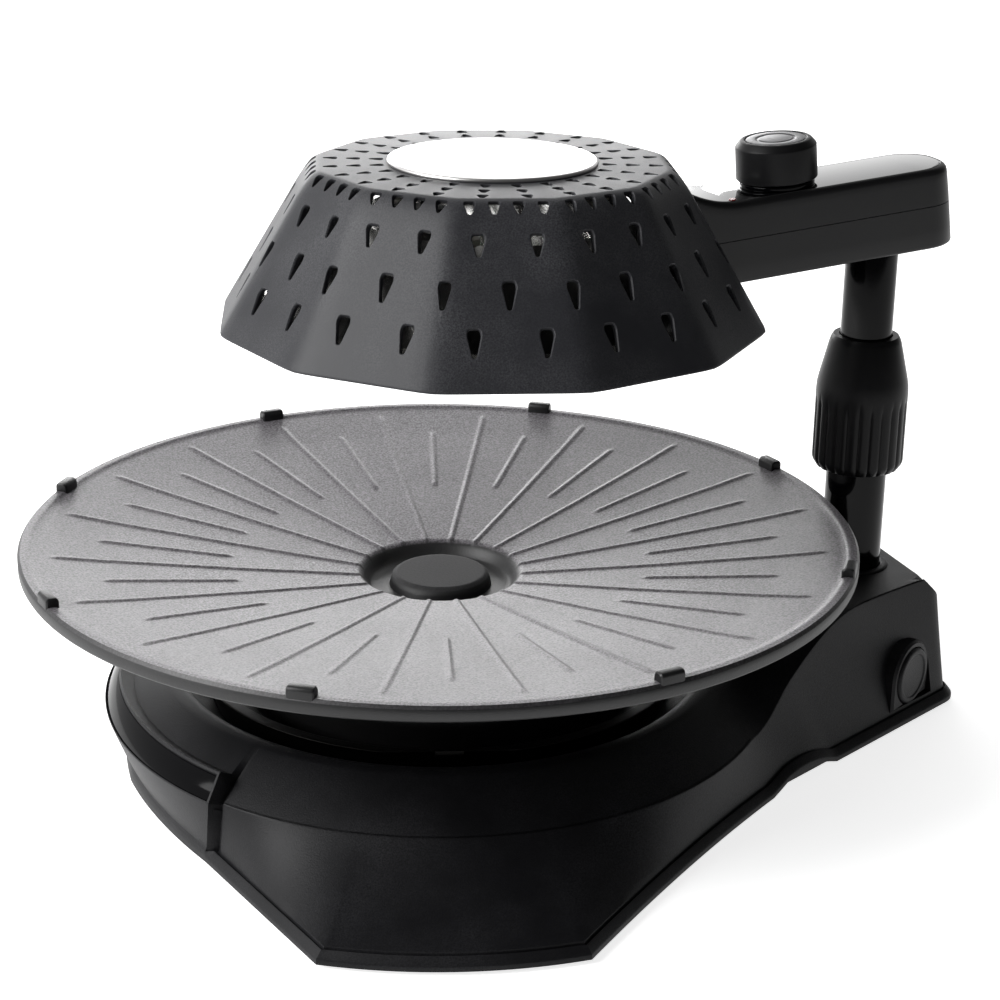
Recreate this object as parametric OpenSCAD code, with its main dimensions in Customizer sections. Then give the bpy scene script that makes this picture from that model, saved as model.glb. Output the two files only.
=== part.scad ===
// Infrared table grill: a dished grill plate on a low base, with a heater hood
// that hangs above it from a telescopic column at the rear.
// Millimetres. The origin is on the table under the middle of the whole grill,
// +X runs from the front grip to the column, +Z is up.

/* [Grill plate] */
// Radius of the grill plate
plate_r = 190; // [180:1:191]
// Height of the plate's rim above the table
plate_top_z = 108; // [104:1:114]
// Height of the plate's outer rim band
plate_rim_h = 7; // [6:0.5:11]
// Thickness of the cast plate
plate_wall = 4.5; // [3.5:0.5:6]
// Depth of the dish from the rim to the centre well
plate_dish = 20; // [14:1:24]
// Radius of the centre well that drains the fat
well_r = 37; // [32:1:44]
// Depth of the well below the dish
well_depth = 7; // [5:0.5:10]
// Radius of the raised boss in the well
boss_r = 22; // [16:1:26]
// Number of long ribs, with one short rib between each two
rib_count = 20; // [12:2:24]
// Height of the ribs above the dish
rib_h = 0.9; // [0.6:0.1:1.6]
// Number of lugs round the rim
lug_count = 8; // [4:1:12]
// How far the plate has been turned in its seat, in degrees
plate_turn = 10.6; // [0:0.1:18]

/* [Base] */
// Height of the rubber feet below the base
foot_h = 2; // [1.5:0.5:4]
// Height of the flange round the foot of the base
flange_h = 5.5; // [4:0.5:8]
// Radius of the base's round shoulder
shoulder_r = 152; // [148:1:156]
// Height of the shoulder above the table
shoulder_z = 31; // [28:1:34]
// Height of the ring that surrounds the tray recess
deck_z = 48; // [46:1:52]
// Gap between the tray's rim and the wall of its recess
tray_gap = 7; // [5:0.5:11]
// Height of the recess floor above the table
recess_z = 32; // [29:1:34]
// Wall thickness of the mouldings
wall = 3; // [2.5:0.25:3.5]
// Radius of the base's outermost side arcs
side_r = 205; // [200:1:212]
// Height of the rear pedestal above the table
pedestal_z = 66; // [62:1:72]

/* [Drip tray] */
// Outer radius of the tray's rim
tray_r = 114; // [112:1:116]
// Height of the tray's rim above the table
tray_z = 50; // [48:1:54]
// Thickness of the tray's sheet steel
tray_sheet = 0.8; // [0.6:0.1:1.2]

/* [Column] */
// Gap from the plate's rim to the middle of the column
column_gap = 23; // [23:0.5:28]
// Outer radius of the lower tube
lower_r = 14.5; // [14:0.25:16]
// Outer radius of the upper tube
upper_r = 12.25; // [11.5:0.25:12.5]
// Wall thickness of both tubes
tube_wall = 1.5; // [1.2:0.1:1.6]
// Length of the lock collar
collar_h = 66; // [56:1:70]
// Largest radius of the lock collar
collar_r = 22; // [20.5:0.5:22.5]
// Height of the collar's foot above the table
collar_z = 117; // [112:1:122]
// How far the head can drop from where it is drawn
head_drop = 38; // [20:1:38]
// How far the head can rise from where it is drawn
head_rise = 40; // [20:1:46]

/* [Head] */
// Distance from the column to the hood's axis
reach = 190; // [186:1:196]
// Height of the hood's mouth above the plate's rim
hood_gap = 99; // [90:1:110]
// Distance across the corners of the hood's mouth, halved
hood_r = 123.5; // [118:0.5:128]
// Height of the hood from its mouth to its top face
hood_h = 69; // [64:1:74]
// Number of sides of the hood
hood_sides = 12; // [10:2:16]
// Slope of the hood's folds, radius lost for each millimetre of height
hood_slope = 0.605; // [0.55:0.005:0.65]
// Thickness of the hood's sheet
hood_sheet = 1.6; // [1.2:0.1:2.4]
// Radius of the steel disc on the hood
disc_r = 46; // [42:1:48]
// Thickness of the steel disc
disc_h = 1.8; // [1.2:0.1:3]
// Width of the arm
arm_w = 43; // [38:1:48]
// Length of the arm behind the column
arm_tail = 36; // [33:1:40]
// Height of the arm at the column
arm_h = 37.2; // [34:0.2:42]
// Radius of the control knob
knob_r = 18.6; // [16:0.2:20]
// Height of the control knob
knob_h = 18.3; // [14:0.1:22]

/* [Hidden] */

// Shared clearances: between running faces, and under a piece that rests on another
run_gap = 0.06;
rest_gap = 0.02;

rear_overhang = 45;
recess_r = tray_r + tray_gap;

// Where the plate's axis lies, so that the whole grill is centred on the origin
column_x = plate_r + column_gap;
rear_x = column_x + rear_overhang;
axis_x = (plate_r - rear_x) / 2;
col = [axis_x + column_x, 0];

// Small helpers
function mix(a, b, t) = a + (b - a) * t;
function smooth(t) = let(u = max(0, min(1, t))) u * u * (3 - 2 * u);
function unit(v) = v / max(norm(v), 0.0001);
function polar(r, a) = [r * cos(a), r * sin(a)];
function flat(p) = [p[0], p[1]];
function raise(p, z) = [p[0], p[1], z];
function curve(a, b, c, t) = mix(mix(a, b, t), mix(b, c, t), t);
function arc(c, r, a0, a1, n) = [for (i = [0:n]) c + polar(r, mix(a0, a1, i / n))];

module tube(r_out, r_in, h) {
    difference() {
        cylinder(r = r_out, h = h, $fn = 72);
        translate([0, 0, -1]) cylinder(r = r_in, h = h + 2, $fn = 72);
    }
}

module at_column(z) {
    translate([col[0], col[1], z]) children();
}

// Base outline, from the front around one side to the rear
front_mid = [-147, 0];
wing_end = [-131, -82];
flare_angle_a = -121.5;
flare_angle_b = -91;
waist = [135, -98];
rear_corner = [column_x + rear_overhang, -36];
corner_cut = 9;
top_rear = [column_x + 35, -29];
top_mid = [column_x - 13, -41];
lip_z = 44;
wing_z = shoulder_z + 1;
wing_r = 166;
wing_x = 11;
pocket_depth = 1.4;
pocket_end = 0.94;
arch_rise = 5;
arch_x = 147;
arch_half = 21;
bevel_x = column_x + 24;
front_n = 7;
chamfer_n = 5;
flare_n = 9;
side_n = 9;
rear_n = 16;
corner_n = 3;

rear_a = rear_corner + corner_cut * unit(waist - rear_corner);
rear_b = rear_corner + [0, corner_cut];
top_a = top_rear + corner_cut * unit(top_mid - top_rear);
top_b = top_rear + [0, corner_cut];
flare_end = polar(side_r, flare_angle_b);

// Each station is [ground point, shoulder point with its height, kind], where the kind is
// 2 across the grip pocket, 1 on the rest of the grip wing and 0 elsewhere
front_steps = concat([for (i = [0:front_n - 1]) pocket_end * i / front_n],
    [pocket_end, pocket_end + 0.01, 1]);
function front_stations() = [for (t = front_steps)
    let(a = mix(180, 212, t), g = curve(front_mid, [-145, -40], wing_end, t))
    [g, raise([wing_x, 0] + polar(wing_r, a), wing_z), t > pocket_end ? 1 : 2]];
function chamfer_stations() = [for (i = [0:chamfer_n])
    let(t = i / chamfer_n, g = mix(wing_end + [0.8, -3], polar(side_r, flare_angle_a), t))
    [g, raise(polar(shoulder_r, mix(-145.2, -122, t)), shoulder_z), 0]];
function flare_stations() = [for (i = [1:flare_n])
    let(t = i / flare_n)
    [polar(side_r, mix(flare_angle_a, flare_angle_b, t)),
        raise(polar(shoulder_r, mix(-122, -91, t)), shoulder_z), 0]];
function side_stations() = [for (i = [1:side_n])
    let(t = i / side_n)
    [curve(flare_end, mix(flare_end, waist, 0.55) + [-3, 5], waist, t),
        raise(polar(shoulder_r, mix(-91, -42, t)), shoulder_z), 0]];
function rear_stations() = [for (i = [1:rear_n])
    let(t = i / rear_n, g = mix(waist, rear_a, t),
        s = curve(polar(shoulder_r, -42), [168, -55], top_a, t))
    [g, raise(s, mix(shoulder_z, pedestal_z, smooth(0.28 + 1.35 * (t - 0.12)) * smooth(t * 4))), 0]];
function corner_stations() = [for (i = [1:corner_n])
    let(t = i / corner_n)
    [curve(rear_a, rear_corner, rear_b, t), raise(curve(top_a, top_rear, top_b, t), pedestal_z), 0]];
half_stations = concat(front_stations(), chamfer_stations(), flare_stations(),
    side_stations(), rear_stations(), corner_stations());
half_n = len(half_stations);
function flip(s) = [[s[0][0], -s[0][1]], [s[1][0], -s[1][1], s[1][2]], s[2]];
stations = concat(half_stations, [for (i = [half_n - 1:-1:1]) flip(half_stations[i])]);
station_n = len(stations);

// Outline points and the direction that points into the base at each
function ground(i) = stations[(i + station_n) % station_n][0];
function inward(i) = let(d = unit(ground(i + 1) - ground(i - 1))) [-d[1], d[0]];
function inset(i, d) = ground(i) + d * inward(i);
function arch(i) = let(g = ground(i), u = (g[0] - arch_x) / arch_half)
    abs(u) < 1 ? arch_rise * (1 - u * u) : 0;
function shoulder(i) = stations[i][1];
function kind(i) = stations[i][2];
// The rear top edge of the pedestal is cut off by a slope; a point above it drops onto it
function bevel(p, drop = 0) = [p[0], p[1], min(p[2], pedestal_z - drop - max(0, p[0] - bevel_x))];
function lip_point(i, r, z) = raise(r * unit(flat(shoulder(i))), z);

// Points of one cross-section of the base, from its foot to the recess floor
groove_w = 0.9;
groove_d = 1.2;
flange_z = foot_h + flange_h;
flange_edge = 2.2;
flange_slope = 2.9;
flange_w = 4.4;
pocket_near = 0.2;
pocket_far = 0.86;
inlay_side = 0.04;
inlay_gap = 0.06;
round_d = 2.4;
floor_r = 30;
// The grip wing has no flange, its skirt runs down to its foot
function foot_in(i) = kind(i) > 0 ? 1.2 : flange_w;
function skirt_foot(i) = raise(inset(i, foot_in(i)), flange_z + 0.8 + arch(i));
function skirt(i, t) = let(a = skirt_foot(i), b = shoulder(i), d = norm(flat(b) - flat(a)))
    raise(mix(flat(a), flat(b), t + 0.5 * d / 55 * t * (1 - t)), mix(a[2], b[2], t));
function grip_lip(i) = let(p = flat(shoulder(i)), c = [wing_x, 0])
    raise(c + (wing_r - 7.5) * unit(p - c), lip_z);
function ramp_point(i) = let(s = shoulder(i), l = lip_point(i, recess_r + 7, deck_z),
        up = smooth((s[2] - shoulder_z) / (pedestal_z - shoulder_z)))
    raise(mix(flat(s), flat(l), 0.5), mix(mix(s[2], l[2], 0.5), s[2], up));
function inner_lip(i) = let(s = shoulder(i), up = (s[2] - shoulder_z) / (pedestal_z - shoulder_z))
    kind(i) > 0 ? grip_lip(i) : mix(s, ramp_point(i), mix(0.4, 0.18, smooth(up)));
function sink(p, d) = let(o = unit(flat(p))) [p[0] - 0.4 * d * o[0], p[1] - 0.4 * d * o[1], p[2] - 0.9 * d];
// Steps in and down from the flange's top edge into its groove, and up the plain foot of the wing
flange_steps = [[flange_slope, 0], [flange_slope + 0.2, -groove_d], [flange_slope + groove_w, -groove_d]];
wing_steps = [[0.3, -1.6], [0.5, -0.8], [0.9, 0]];
function foot_edge(i) = [for (p = kind(i) > 0 ? wing_steps : flange_steps)
    raise(inset(i, p[0]), flange_z + p[1] + arch(i))];
function section_outer(i) = let(
        a = arch(i), s = shoulder(i), w = skirt(i, 0.8), n = inner_lip(i), m = ramp_point(i),
        p1 = s + round_d * unit(w - s), p2 = s + round_d * unit(n - s),
        cut = kind(i) > 1 ? pocket_depth : 0)
    concat([raise(inset(i, 0), foot_h + a), raise(inset(i, 0), foot_h + flange_edge + a)], foot_edge(i),
        [skirt_foot(i), skirt(i, 0.3), skirt(i, 0.6), bevel(p1), bevel(curve(p1, s, p2, 0.5)), bevel(p2),
        bevel(sink(mix(s, n, pocket_near), cut)), bevel(sink(mix(s, n, pocket_far), cut)), bevel(n),
        mix(n, m, kind(i) > 0 ? 0.35 : 0.5), m,
        lip_point(i, recess_r + 7, deck_z), lip_point(i, recess_r + 3, deck_z + 0.8),
        lip_point(i, recess_r, deck_z), lip_point(i, recess_r - 1, recess_z),
        lip_point(i, floor_r, recess_z)]);
function section_inner(i) = let(
        s = shoulder(i), m = ramp_point(i), e = raise(flat(s) + 0.9 * wall * inward(i), s[2] - 1.25 * wall))
    [lip_point(i, floor_r, recess_z - wall), lip_point(i, recess_r - 1 + wall, recess_z - wall),
        lip_point(i, recess_r + wall, deck_z - wall - 1), raise(flat(m), m[2] - 1.3 * wall),
        bevel(e, 1.8 * wall),
        raise(flat(skirt(i, 0.5)) + wall * inward(i), skirt(i, 0.5)[2] - 0.5 * wall),
        raise(inset(i, flange_w + wall), flange_z - 0.5 + arch(i)),
        raise(inset(i, wall), foot_h + pan_h + 0.2 + arch(i)),
        raise(inset(i, wall), foot_h + arch(i))];
// The whole section, from under the recess floor down the inside, then up the outside to the floor
function loop_section(i) = concat(section_inner(i), section_outer(i));

// A closed skin over rings of points that turn anticlockwise: the first ring is capped
// on its underside, the last on its top. Where strip is true the caps are bands across
// the ring, so that they stay flat pieces on a bent top.
module ring_skin(rings, strip = false) {
    n = len(rings[0]);
    m = len(rings);
    top = (m - 1) * n;
    points = [for (ring = rings) for (p = ring) p];
    side = [for (j = [0:m - 2]) for (i = [0:n - 1])
        let(k = (i + 1) % n, a = j * n + i, b = j * n + k, c = (j + 1) * n + k, d = (j + 1) * n + i)
        each [[a, c, b], [a, d, c]]];
    whole_caps = [[for (i = [0:n - 1]) i], [for (i = [n - 1:-1:0]) top + i]];
    strip_caps = [for (i = [0:n / 2 - 2])
        each [[i, i + 1, n - 2 - i, n - 1 - i], [top + n - 1 - i, top + n - 2 - i, top + i + 1, top + i]]];
    polyhedron(points = points, faces = concat(strip ? strip_caps : whole_caps, side), convexity = 10);
}

// A solid round piece that stands on z = 0
module disc(r, h) {
    cylinder(r = r, h = h, $fn = 32);
}

module button_frame(d) {
    translate([axis_x + button_at[0], button_at[1], button_z]) rotate([0, 0, button_angle])
        rotate([0, 90, 0]) translate([0, 0, d]) children();
}

// The arch-topped outline of the button's boss, z towards +X turned upright
module boss_outline(r) {
    rotate([0, 0, 90]) polygon(concat(arc([0, 0], r, 0, 180, 14), [[-r, -boss_down], [r, -boss_down]]));
}

// Names of the places inside the base
pan_z = foot_h;
pan_h = 2.5;
pan_top = pan_z + pan_h;
socket_r = lower_r + 4;
socket_floor = pan_top + 4;
socket_top = pedestal_z + 1.2;
socket_flange_r = 25;
screw_r = 1.6;
screw_head_r = 3;
boss_ring_r = 92;
foot_ring_r = 136;
foot_r = 8;
foot_plug_r = 3;
vent_n = 4;
vent_step = 8;
vent_w = 3;
vent_length = 60;
post_r = 5;
button_at = [column_x + 11, -45];
button_z = 23;
button_angle = -57;
button_r = 14;
button_travel = 3;
boss_r_out = 17.5;
boss_down = 14;
boss_deep = 5;
guide_deep = 21;
stem_r = 3;
inlet_w = 27;
inlet_h = 20;
inlet_z = 19;
inlet_deep = 14;
lead_r = 3;

module base_posts() {
    for (k = [0:5]) rotate([0, 0, 30 + 60 * k]) translate([boss_ring_r, 0, pan_top])
        difference() {
            disc(post_r, recess_z - wall - pan_top + 0.5);
            translate([0, 0, -1]) disc(screw_r + 0.05, 13);
        }
}

module base_shell() {
    sections = [for (i = [0:station_n - 1]) loop_section(i)];
    rings = [for (j = [0:len(sections[0]) - 1]) [for (i = [0:station_n - 1]) sections[i][j]]];
    color([0.05, 0.05, 0.055])
    difference() {
        union() {
            translate([axis_x, 0, 0]) ring_skin(rings);
            translate([axis_x, 0, 0]) base_posts();
        }
        at_column(recess_z) disc(socket_r + 0.1, 60);
        button_frame(-2 * boss_deep) linear_extrude(40) boss_outline(boss_r_out + 0.1);
        translate([axis_x + column_x + 20, -inlet_w / 2 - 0.1, inlet_z - inlet_h / 2 - 0.1])
            cube([60, inlet_w + 0.2, inlet_h + 0.2]);
    }
}

module pan_outline(d) {
    polygon([for (i = [0:station_n - 1]) inset(i, d)]);
}

module base_pan() {
    color([0.07, 0.07, 0.075])
    translate([axis_x, 0, pan_z])
    difference() {
        linear_extrude(pan_h) pan_outline(wall + 0.3);
        for (k = [0:5]) rotate([0, 0, 30 + 60 * k]) {
            translate([boss_ring_r, 0, -1]) disc(screw_r + 0.05, pan_h + 2);
        }
        for (p = foot_spots) translate([p[0], p[1], -1]) disc(foot_plug_r + 0.05, pan_h + 2);
        for (k = [-vent_n:vent_n]) translate([vent_step * k - vent_w / 2, -vent_length / 2, -1])
            cube([vent_w, vent_length, pan_h + 2]);
        for (k = [0:2]) translate([column_x, 0, -1]) rotate([0, 0, 60 + 120 * k])
            translate([socket_flange_r - 4, 0, 0]) disc(screw_r + 0.05, pan_h + 2);
    }
}

// A pan-head screw with its head below z = 0 and its shank above
module screw(shank, r, head_r, head_h) {
    translate([0, 0, -head_h]) disc(head_r, head_h);
    translate([0, 0, -0.01]) disc(r, shank + 0.01);
}

module base_screws() {
    color([0.55, 0.55, 0.56])
    for (k = [0:5]) translate([axis_x, 0, pan_z]) rotate([0, 0, 30 + 60 * k])
        translate([boss_ring_r, 0, 0]) screw(pan_h + 9, screw_r, screw_head_r, 1.6);
}

foot_spots = [polar(foot_ring_r, 52), polar(foot_ring_r, 128), polar(foot_ring_r, -52),
    polar(foot_ring_r, -128),
    [column_x + 26, 24], [column_x + 26, -24]];

module rubber_feet() {
    color([0.06, 0.06, 0.06])
    for (p = foot_spots) translate([axis_x + p[0], p[1], 0]) {
        disc(foot_r, foot_h);
        disc(foot_plug_r, foot_h + pan_h + 1);
        translate([0, 0, foot_h + pan_h]) disc(4.2, 1.6);
    }
}

module grip_inlay() {
    rings = [for (k = [-front_n:front_n]) let(i = abs(k), s = shoulder(i), n = inner_lip(i),
            a = mix(s, n, pocket_near + inlay_side), b = mix(s, n, pocket_far - inlay_side),
                y = k < 0 ? -1 : 1)
        [for (p = [sink(a, pocket_depth - inlay_gap), sink(b, pocket_depth - inlay_gap), sink(b, 0.3),
            sink(a, 0.3)])
            [p[0], y * p[1], p[2]]]];
    color([0.02, 0.02, 0.022])
    translate([axis_x, 0, 0]) ring_skin(rings);
}

module column_socket() {
    color([0.06, 0.06, 0.065])
    at_column(0) difference() {
        union() {
            translate([0, 0, pan_top]) disc(socket_flange_r, 4);
            translate([0, 0, pan_top]) disc(socket_r, socket_top - pan_top);
        }
        translate([0, 0, socket_floor]) disc(lower_r + 0.04, 90);
        translate([0, 0, pan_top - 1]) disc(5, 20);
        for (k = [0:2]) rotate([0, 0, 60 + 120 * k]) translate([socket_flange_r - 4, 0, pan_top - 1])
            disc(screw_r + 0.05, 20);
        translate([-30, 0, socket_floor + 5]) rotate([0, 90, 0]) disc(lead_r + 0.2, 30);
    }
}

module socket_screws() {
    color([0.55, 0.55, 0.56])
    at_column(pan_z) for (k = [0:2]) rotate([0, 0, 60 + 120 * k]) translate([socket_flange_r - 4, 0, 0])
        screw(pan_h + 3.8, screw_r, screw_head_r, 1.6);
}

module button_bezel() {
    color([0.06, 0.06, 0.065])
    difference() {
        union() {
            button_frame(-boss_deep) linear_extrude(boss_deep + 2.2) boss_outline(boss_r_out);
            button_frame(-guide_deep) disc(11, guide_deep - 1);
        }
        button_frame(-boss_deep + 1.5) disc(button_r + 0.4, 20);
        button_frame(-guide_deep + 2) disc(8, 30);
        button_frame(-guide_deep - 1) disc(stem_r + run_gap, 30);
    }
}

module release_button() {
    color([0.09, 0.09, 0.1])
    button_frame(0) {
        difference() {
            disc(button_r, 3.4);
            translate([0, 0, 3]) disc(button_r - 2, 1);
        }
        translate([0, 0, -guide_deep - 2]) disc(stem_r, guide_deep + 3);
    }
}

module button_spring() {
    turns = 5;
    steps = 16;
    coil_r = 5.2;
    wire_r = 0.5;
    pitch = (guide_deep - 2 - 2 * wire_r) / turns;
    rings = [for (k = [0:turns * steps]) let(a = 360 * k / steps,
        z = -guide_deep + 2 + wire_r + pitch * k / steps)
        [for (j = [0:7]) let(q = polar(wire_r, -45 * j)) [(coil_r + q[0]) * cos(a),
            (coil_r + q[0]) * sin(a), z + q[1]]]];
    color([0.7, 0.7, 0.7])
    button_frame(0) ring_skin(rings);
}

module power_inlet() {
    x = axis_x + rear_x - 5;
    color([0.05, 0.05, 0.05])
    difference() {
        union() {
            translate([x - inlet_deep, -inlet_w / 2, inlet_z - inlet_h / 2])
                cube([inlet_deep, inlet_w, inlet_h]);
            translate([x - inlet_deep, -inlet_w / 2 - 3, pan_top]) cube([4, inlet_w + 6, inlet_h + 4]);
        }
        translate([x + 4 - inlet_deep, -inlet_w / 2 + 2.5, inlet_z - inlet_h / 2 + 2.5])
            cube([inlet_deep, inlet_w - 5, inlet_h - 5]);
    }
    color([0.75, 0.72, 0.6])
    for (y = [-7, 0, 7]) translate([x + 3.9 - inlet_deep, y - 1, inlet_z + (y == 0 ? 1 : -3)])
        cube([9, 2, 4]);
}

module terminal_block() {
    color([0.85, 0.85, 0.82])
    translate([axis_x + column_x - 62, -15, pan_top]) difference() {
        cube([18, 30, 12]);
        for (k = [0:3]) translate([9, 4.5 + 7 * k, 5]) disc(2, 10);
    }
}

module rod(a, b, r) {
    d = b - a;
    h = norm(d);
    translate(a) rotate([0, acos(d[2] / h), atan2(d[1], d[0])]) disc(r, h);
}

// A round lead through the points given, mitred at each bend
function lead_ring(p, d, r) = let(u = unit(cross(d, [0.3, 0.2, 1])), v = cross(unit(d), u))
    [for (a = [0:30:330]) p + r * (cos(a) * u + sin(a) * v)];
module lead(points, r) {
    last = len(points) - 1;
    ring_skin([for (k = [0:last])
        lead_ring(points[k], points[min(k + 1, last)] - points[max(k - 1, 0)], r)]);
}

module base_lead() {
    z = socket_floor + 5;
    x0 = axis_x + column_x;
    color([0.12, 0.12, 0.12]) {
        rod([x0 - 43.8, 0, z], [x0 - 8, 0, z], lead_r - 0.2);
        lead([[x0 + 23, 8, z], [x0 + 12, 30, z], [x0 - 34, 30, z], [x0 - 39, 11, z], [x0 - 43.8, 11, z]],
            lead_r - 0.2);
    }
}

// Drip tray
tray_floor = recess_z + 0.3;
tray_turn = -106;

module drip_tray() {
    rim = 5;
    color([0.32, 0.31, 0.3])
    translate([axis_x, 0, 0]) {
        difference() {
            rotate_extrude($fn = 96) polygon([[0, tray_floor], [tray_r - 8, tray_floor],
                [tray_r - rim, tray_z - tray_sheet],
                [tray_r, tray_z - tray_sheet], [tray_r, tray_z], [tray_r - rim - tray_sheet, tray_z],
                [tray_r - 8 - tray_sheet, tray_floor + tray_sheet], [0, tray_floor + tray_sheet]]);
            rotate([0, 0, tray_turn]) translate([tray_r - rim + 1, -60, tray_floor]) cube([40, 120, 40]);
        }
        rotate([0, 0, tray_turn]) {
            translate([tray_r - rim - 0.4, -6, tray_z - 0.9 * tray_sheet])
                cube([rim + 2.4, 12, 0.8 * tray_sheet]);
            translate([tray_r + 2 - tray_sheet, -6, tray_z - 0.9 * tray_sheet]) cube([tray_sheet, 12, 3]);
        }
    }
}

// Grill plate: heights of its dished top at a radius
dish_r = [well_r, 0.51 * plate_r, 0.808 * plate_r, 0.912 * plate_r, plate_r];
dish_z = [plate_top_z - plate_dish, plate_top_z - 13, plate_top_z - 5.5, plate_top_z - 2.5, plate_top_z];
well_z = plate_top_z - plate_dish - well_depth;
hub_r = 0.45 * plate_r;
hub_z = tray_floor + tray_sheet + rest_gap;
hub_wall = 4;
long_rib_end = 0.912 * plate_r;
short_rib_start = 0.51 * plate_r;
short_rib_end = 0.808 * plate_r;
lug_w = 11.5;
lug_deep = 6.5;
lug_up = 4;

module plate_body() {
    t = plate_wall;
    rotate_extrude($fn = 180) polygon([
        [0, well_z - t], [well_r - 2, well_z - t], [well_r + 3, dish_z[0] - t], [hub_r, dish_z[1] - t - 1],
        [hub_r, hub_z], [hub_r + hub_wall, hub_z], [hub_r + hub_wall, dish_z[1] - t - 0.5],
        [dish_r[2], dish_z[2] - t], [plate_r - 3, dish_z[3] - t], [plate_r - 1, plate_top_z - plate_rim_h],
        [plate_r, plate_top_z - plate_rim_h + 0.8], [plate_r, plate_top_z - 1.2],
        [plate_r - 1.2, plate_top_z],
        [plate_r - 5, plate_top_z], [plate_r - 7, plate_top_z - 1], [dish_r[3], dish_z[3]],
        [dish_r[2], dish_z[2]],
        [dish_r[1], dish_z[1]], [dish_r[0] + 1.5, dish_z[0]], [dish_r[0] - 1, dish_z[0] - 1],
        [well_r - 5, well_z],
        [boss_r + 2, well_z], [boss_r, well_z + 5], [boss_r - 1, well_z + 6], [0, well_z + 6]]);
}

// One rib lies along +X, its upper edge follows the dish
module rib(points, w) {
    rotate([90, 0, 0]) translate([0, 0, -w / 2]) linear_extrude(w)
        polygon(concat([for (p = points) [p[0], p[1] + rib_h]],
            [for (k = [len(points) - 1:-1:0]) [points[k][0], points[k][1] - 1]]));
}

module plate_ribs() {
    long_points = [for (k = [0:3]) [k == 0 ? dish_r[0] + 3 : dish_r[k], dish_z[k]]];
    short_points = [for (k = [1:2]) [dish_r[k], dish_z[k]]];
    for (k = [0:rib_count - 1]) {
        rotate([0, 0, k * 360 / rib_count]) rib(long_points, 3);
        rotate([0, 0, (k + 0.5) * 360 / rib_count]) rib(short_points, 3);
    }
}

module plate_lugs() {
    for (k = [0:lug_count - 1]) rotate([0, 0, k * 360 / lug_count])
        rotate([90, 0, 0]) translate([0, 0, -lug_w / 2]) linear_extrude(lug_w)
            polygon([[plate_r - lug_deep, plate_top_z - 3], [plate_r - 0.5, plate_top_z - 3],
                [plate_r - 0.5, plate_top_z + lug_up - 1], [plate_r - 1.5, plate_top_z + lug_up],
                [plate_r - lug_deep + 1.5, plate_top_z + lug_up],
                [plate_r - lug_deep, plate_top_z + lug_up - 1.5]]);
}

module plate_slots() {
    for (k = [0:2]) rotate([0, 0, 120 * k + 20]) translate([0, 0, well_z - plate_wall - 1])
        rotate_extrude(angle = 62, $fn = 96) translate([boss_r + 3.2, 0]) square([4.2, plate_wall + 4]);
}

module grill_plate() {
    color([0.16, 0.16, 0.16])
    translate([axis_x, 0, 0]) rotate([0, 0, plate_turn]) difference() {
        union() {
            plate_body();
            plate_ribs();
            plate_lugs();
        }
        plate_slots();
    }
}

// Column
lower_top = collar_z + 41;
collet_z = collar_z + 23;
collet_top = collar_z + collar_h - 5;
collar_rim_r = 16.1;
collar_body_h = 42;
collar_foot_r = 19.6;
collar_foot_h = 3.4;
flute_n = 24;
flute_r = 2.2;
flute_h = 34;
collet_r = 17;
collet_tip_r = 13.9;
upper_foot = socket_floor + head_drop + 14;
hood_z = plate_top_z + hood_gap;
arm_z = hood_z + 19;
upper_top = arm_z + 13;
plug_top = upper_top + 14;
journal_r = 8;

module lower_tube() {
    color([0.03, 0.03, 0.035])
    difference() {
        at_column(socket_floor) tube(lower_r, lower_r - tube_wall, lower_top - socket_floor);
        at_column(socket_floor + 5) rotate([0, 0, 180]) rotate([0, 90, 0]) disc(lead_r + 0.2, 30);
    }
}

module collet() {
    color([0.75, 0.74, 0.7])
    at_column(0) difference() {
        rotate_extrude($fn = 72) polygon([[lower_r + 0.04, collet_z], [collet_r, collet_z],
            [collet_r, collar_z + collar_body_h],
            [collet_tip_r, collet_top], [upper_r + run_gap, collet_top],
            [upper_r + run_gap, lower_top + 0.04],
            [lower_r + 0.04, lower_top + 0.04]]);
        for (k = [0:3]) rotate([0, 0, 45 + 90 * k]) translate([8, -0.6, lower_top + 3]) cube([12, 1.2, 40]);
    }
}

module lock_collar() {
    bore_gap = 0.5;
    body_z = collar_z + collar_body_h;
    rim_z = collar_z + collar_h;
    color([0.03, 0.03, 0.033])
    at_column(0) difference() {
        rotate_extrude($fn = 96) polygon([[lower_r + run_gap, collar_z], [collar_foot_r, collar_z],
            [collar_r, collar_z + collar_foot_h], [collar_r, body_z], [collar_rim_r + 0.6, rim_z - 1.5],
            [collar_rim_r, rim_z], [upper_r + 0.4, rim_z], [upper_r + 0.4, collet_top + bore_gap],
            [collet_tip_r + bore_gap, collet_top + bore_gap], [collet_r + bore_gap, body_z],
            [collet_r + bore_gap, collet_z - bore_gap], [lower_r + run_gap, collet_z - bore_gap]]);
        for (k = [0:flute_n - 1]) rotate([0, 0, 360 / flute_n * k])
            translate([collar_r + flute_r - 0.7, 0, collar_z - 1])
                cylinder(r = flute_r, h = flute_h + 1, $fn = 24);
    }
}

module upper_tube() {
    color([0.03, 0.03, 0.035])
    at_column(upper_foot) tube(upper_r, upper_r - tube_wall, upper_top - upper_foot);
}

module guide_bush() {
    inner = lower_r - tube_wall;
    color([0.8, 0.79, 0.74])
    at_column(0) rotate_extrude($fn = 72) polygon([[upper_r - tube_wall + 1, upper_foot - 3],
        [inner - run_gap, upper_foot - 3],
        [inner - run_gap, upper_foot + 16], [upper_r + 0.03, upper_foot + 16],
        [upper_r + 0.03, upper_foot - 0.03],
        [upper_r - tube_wall + 1, upper_foot - 0.03]]);
}

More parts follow.
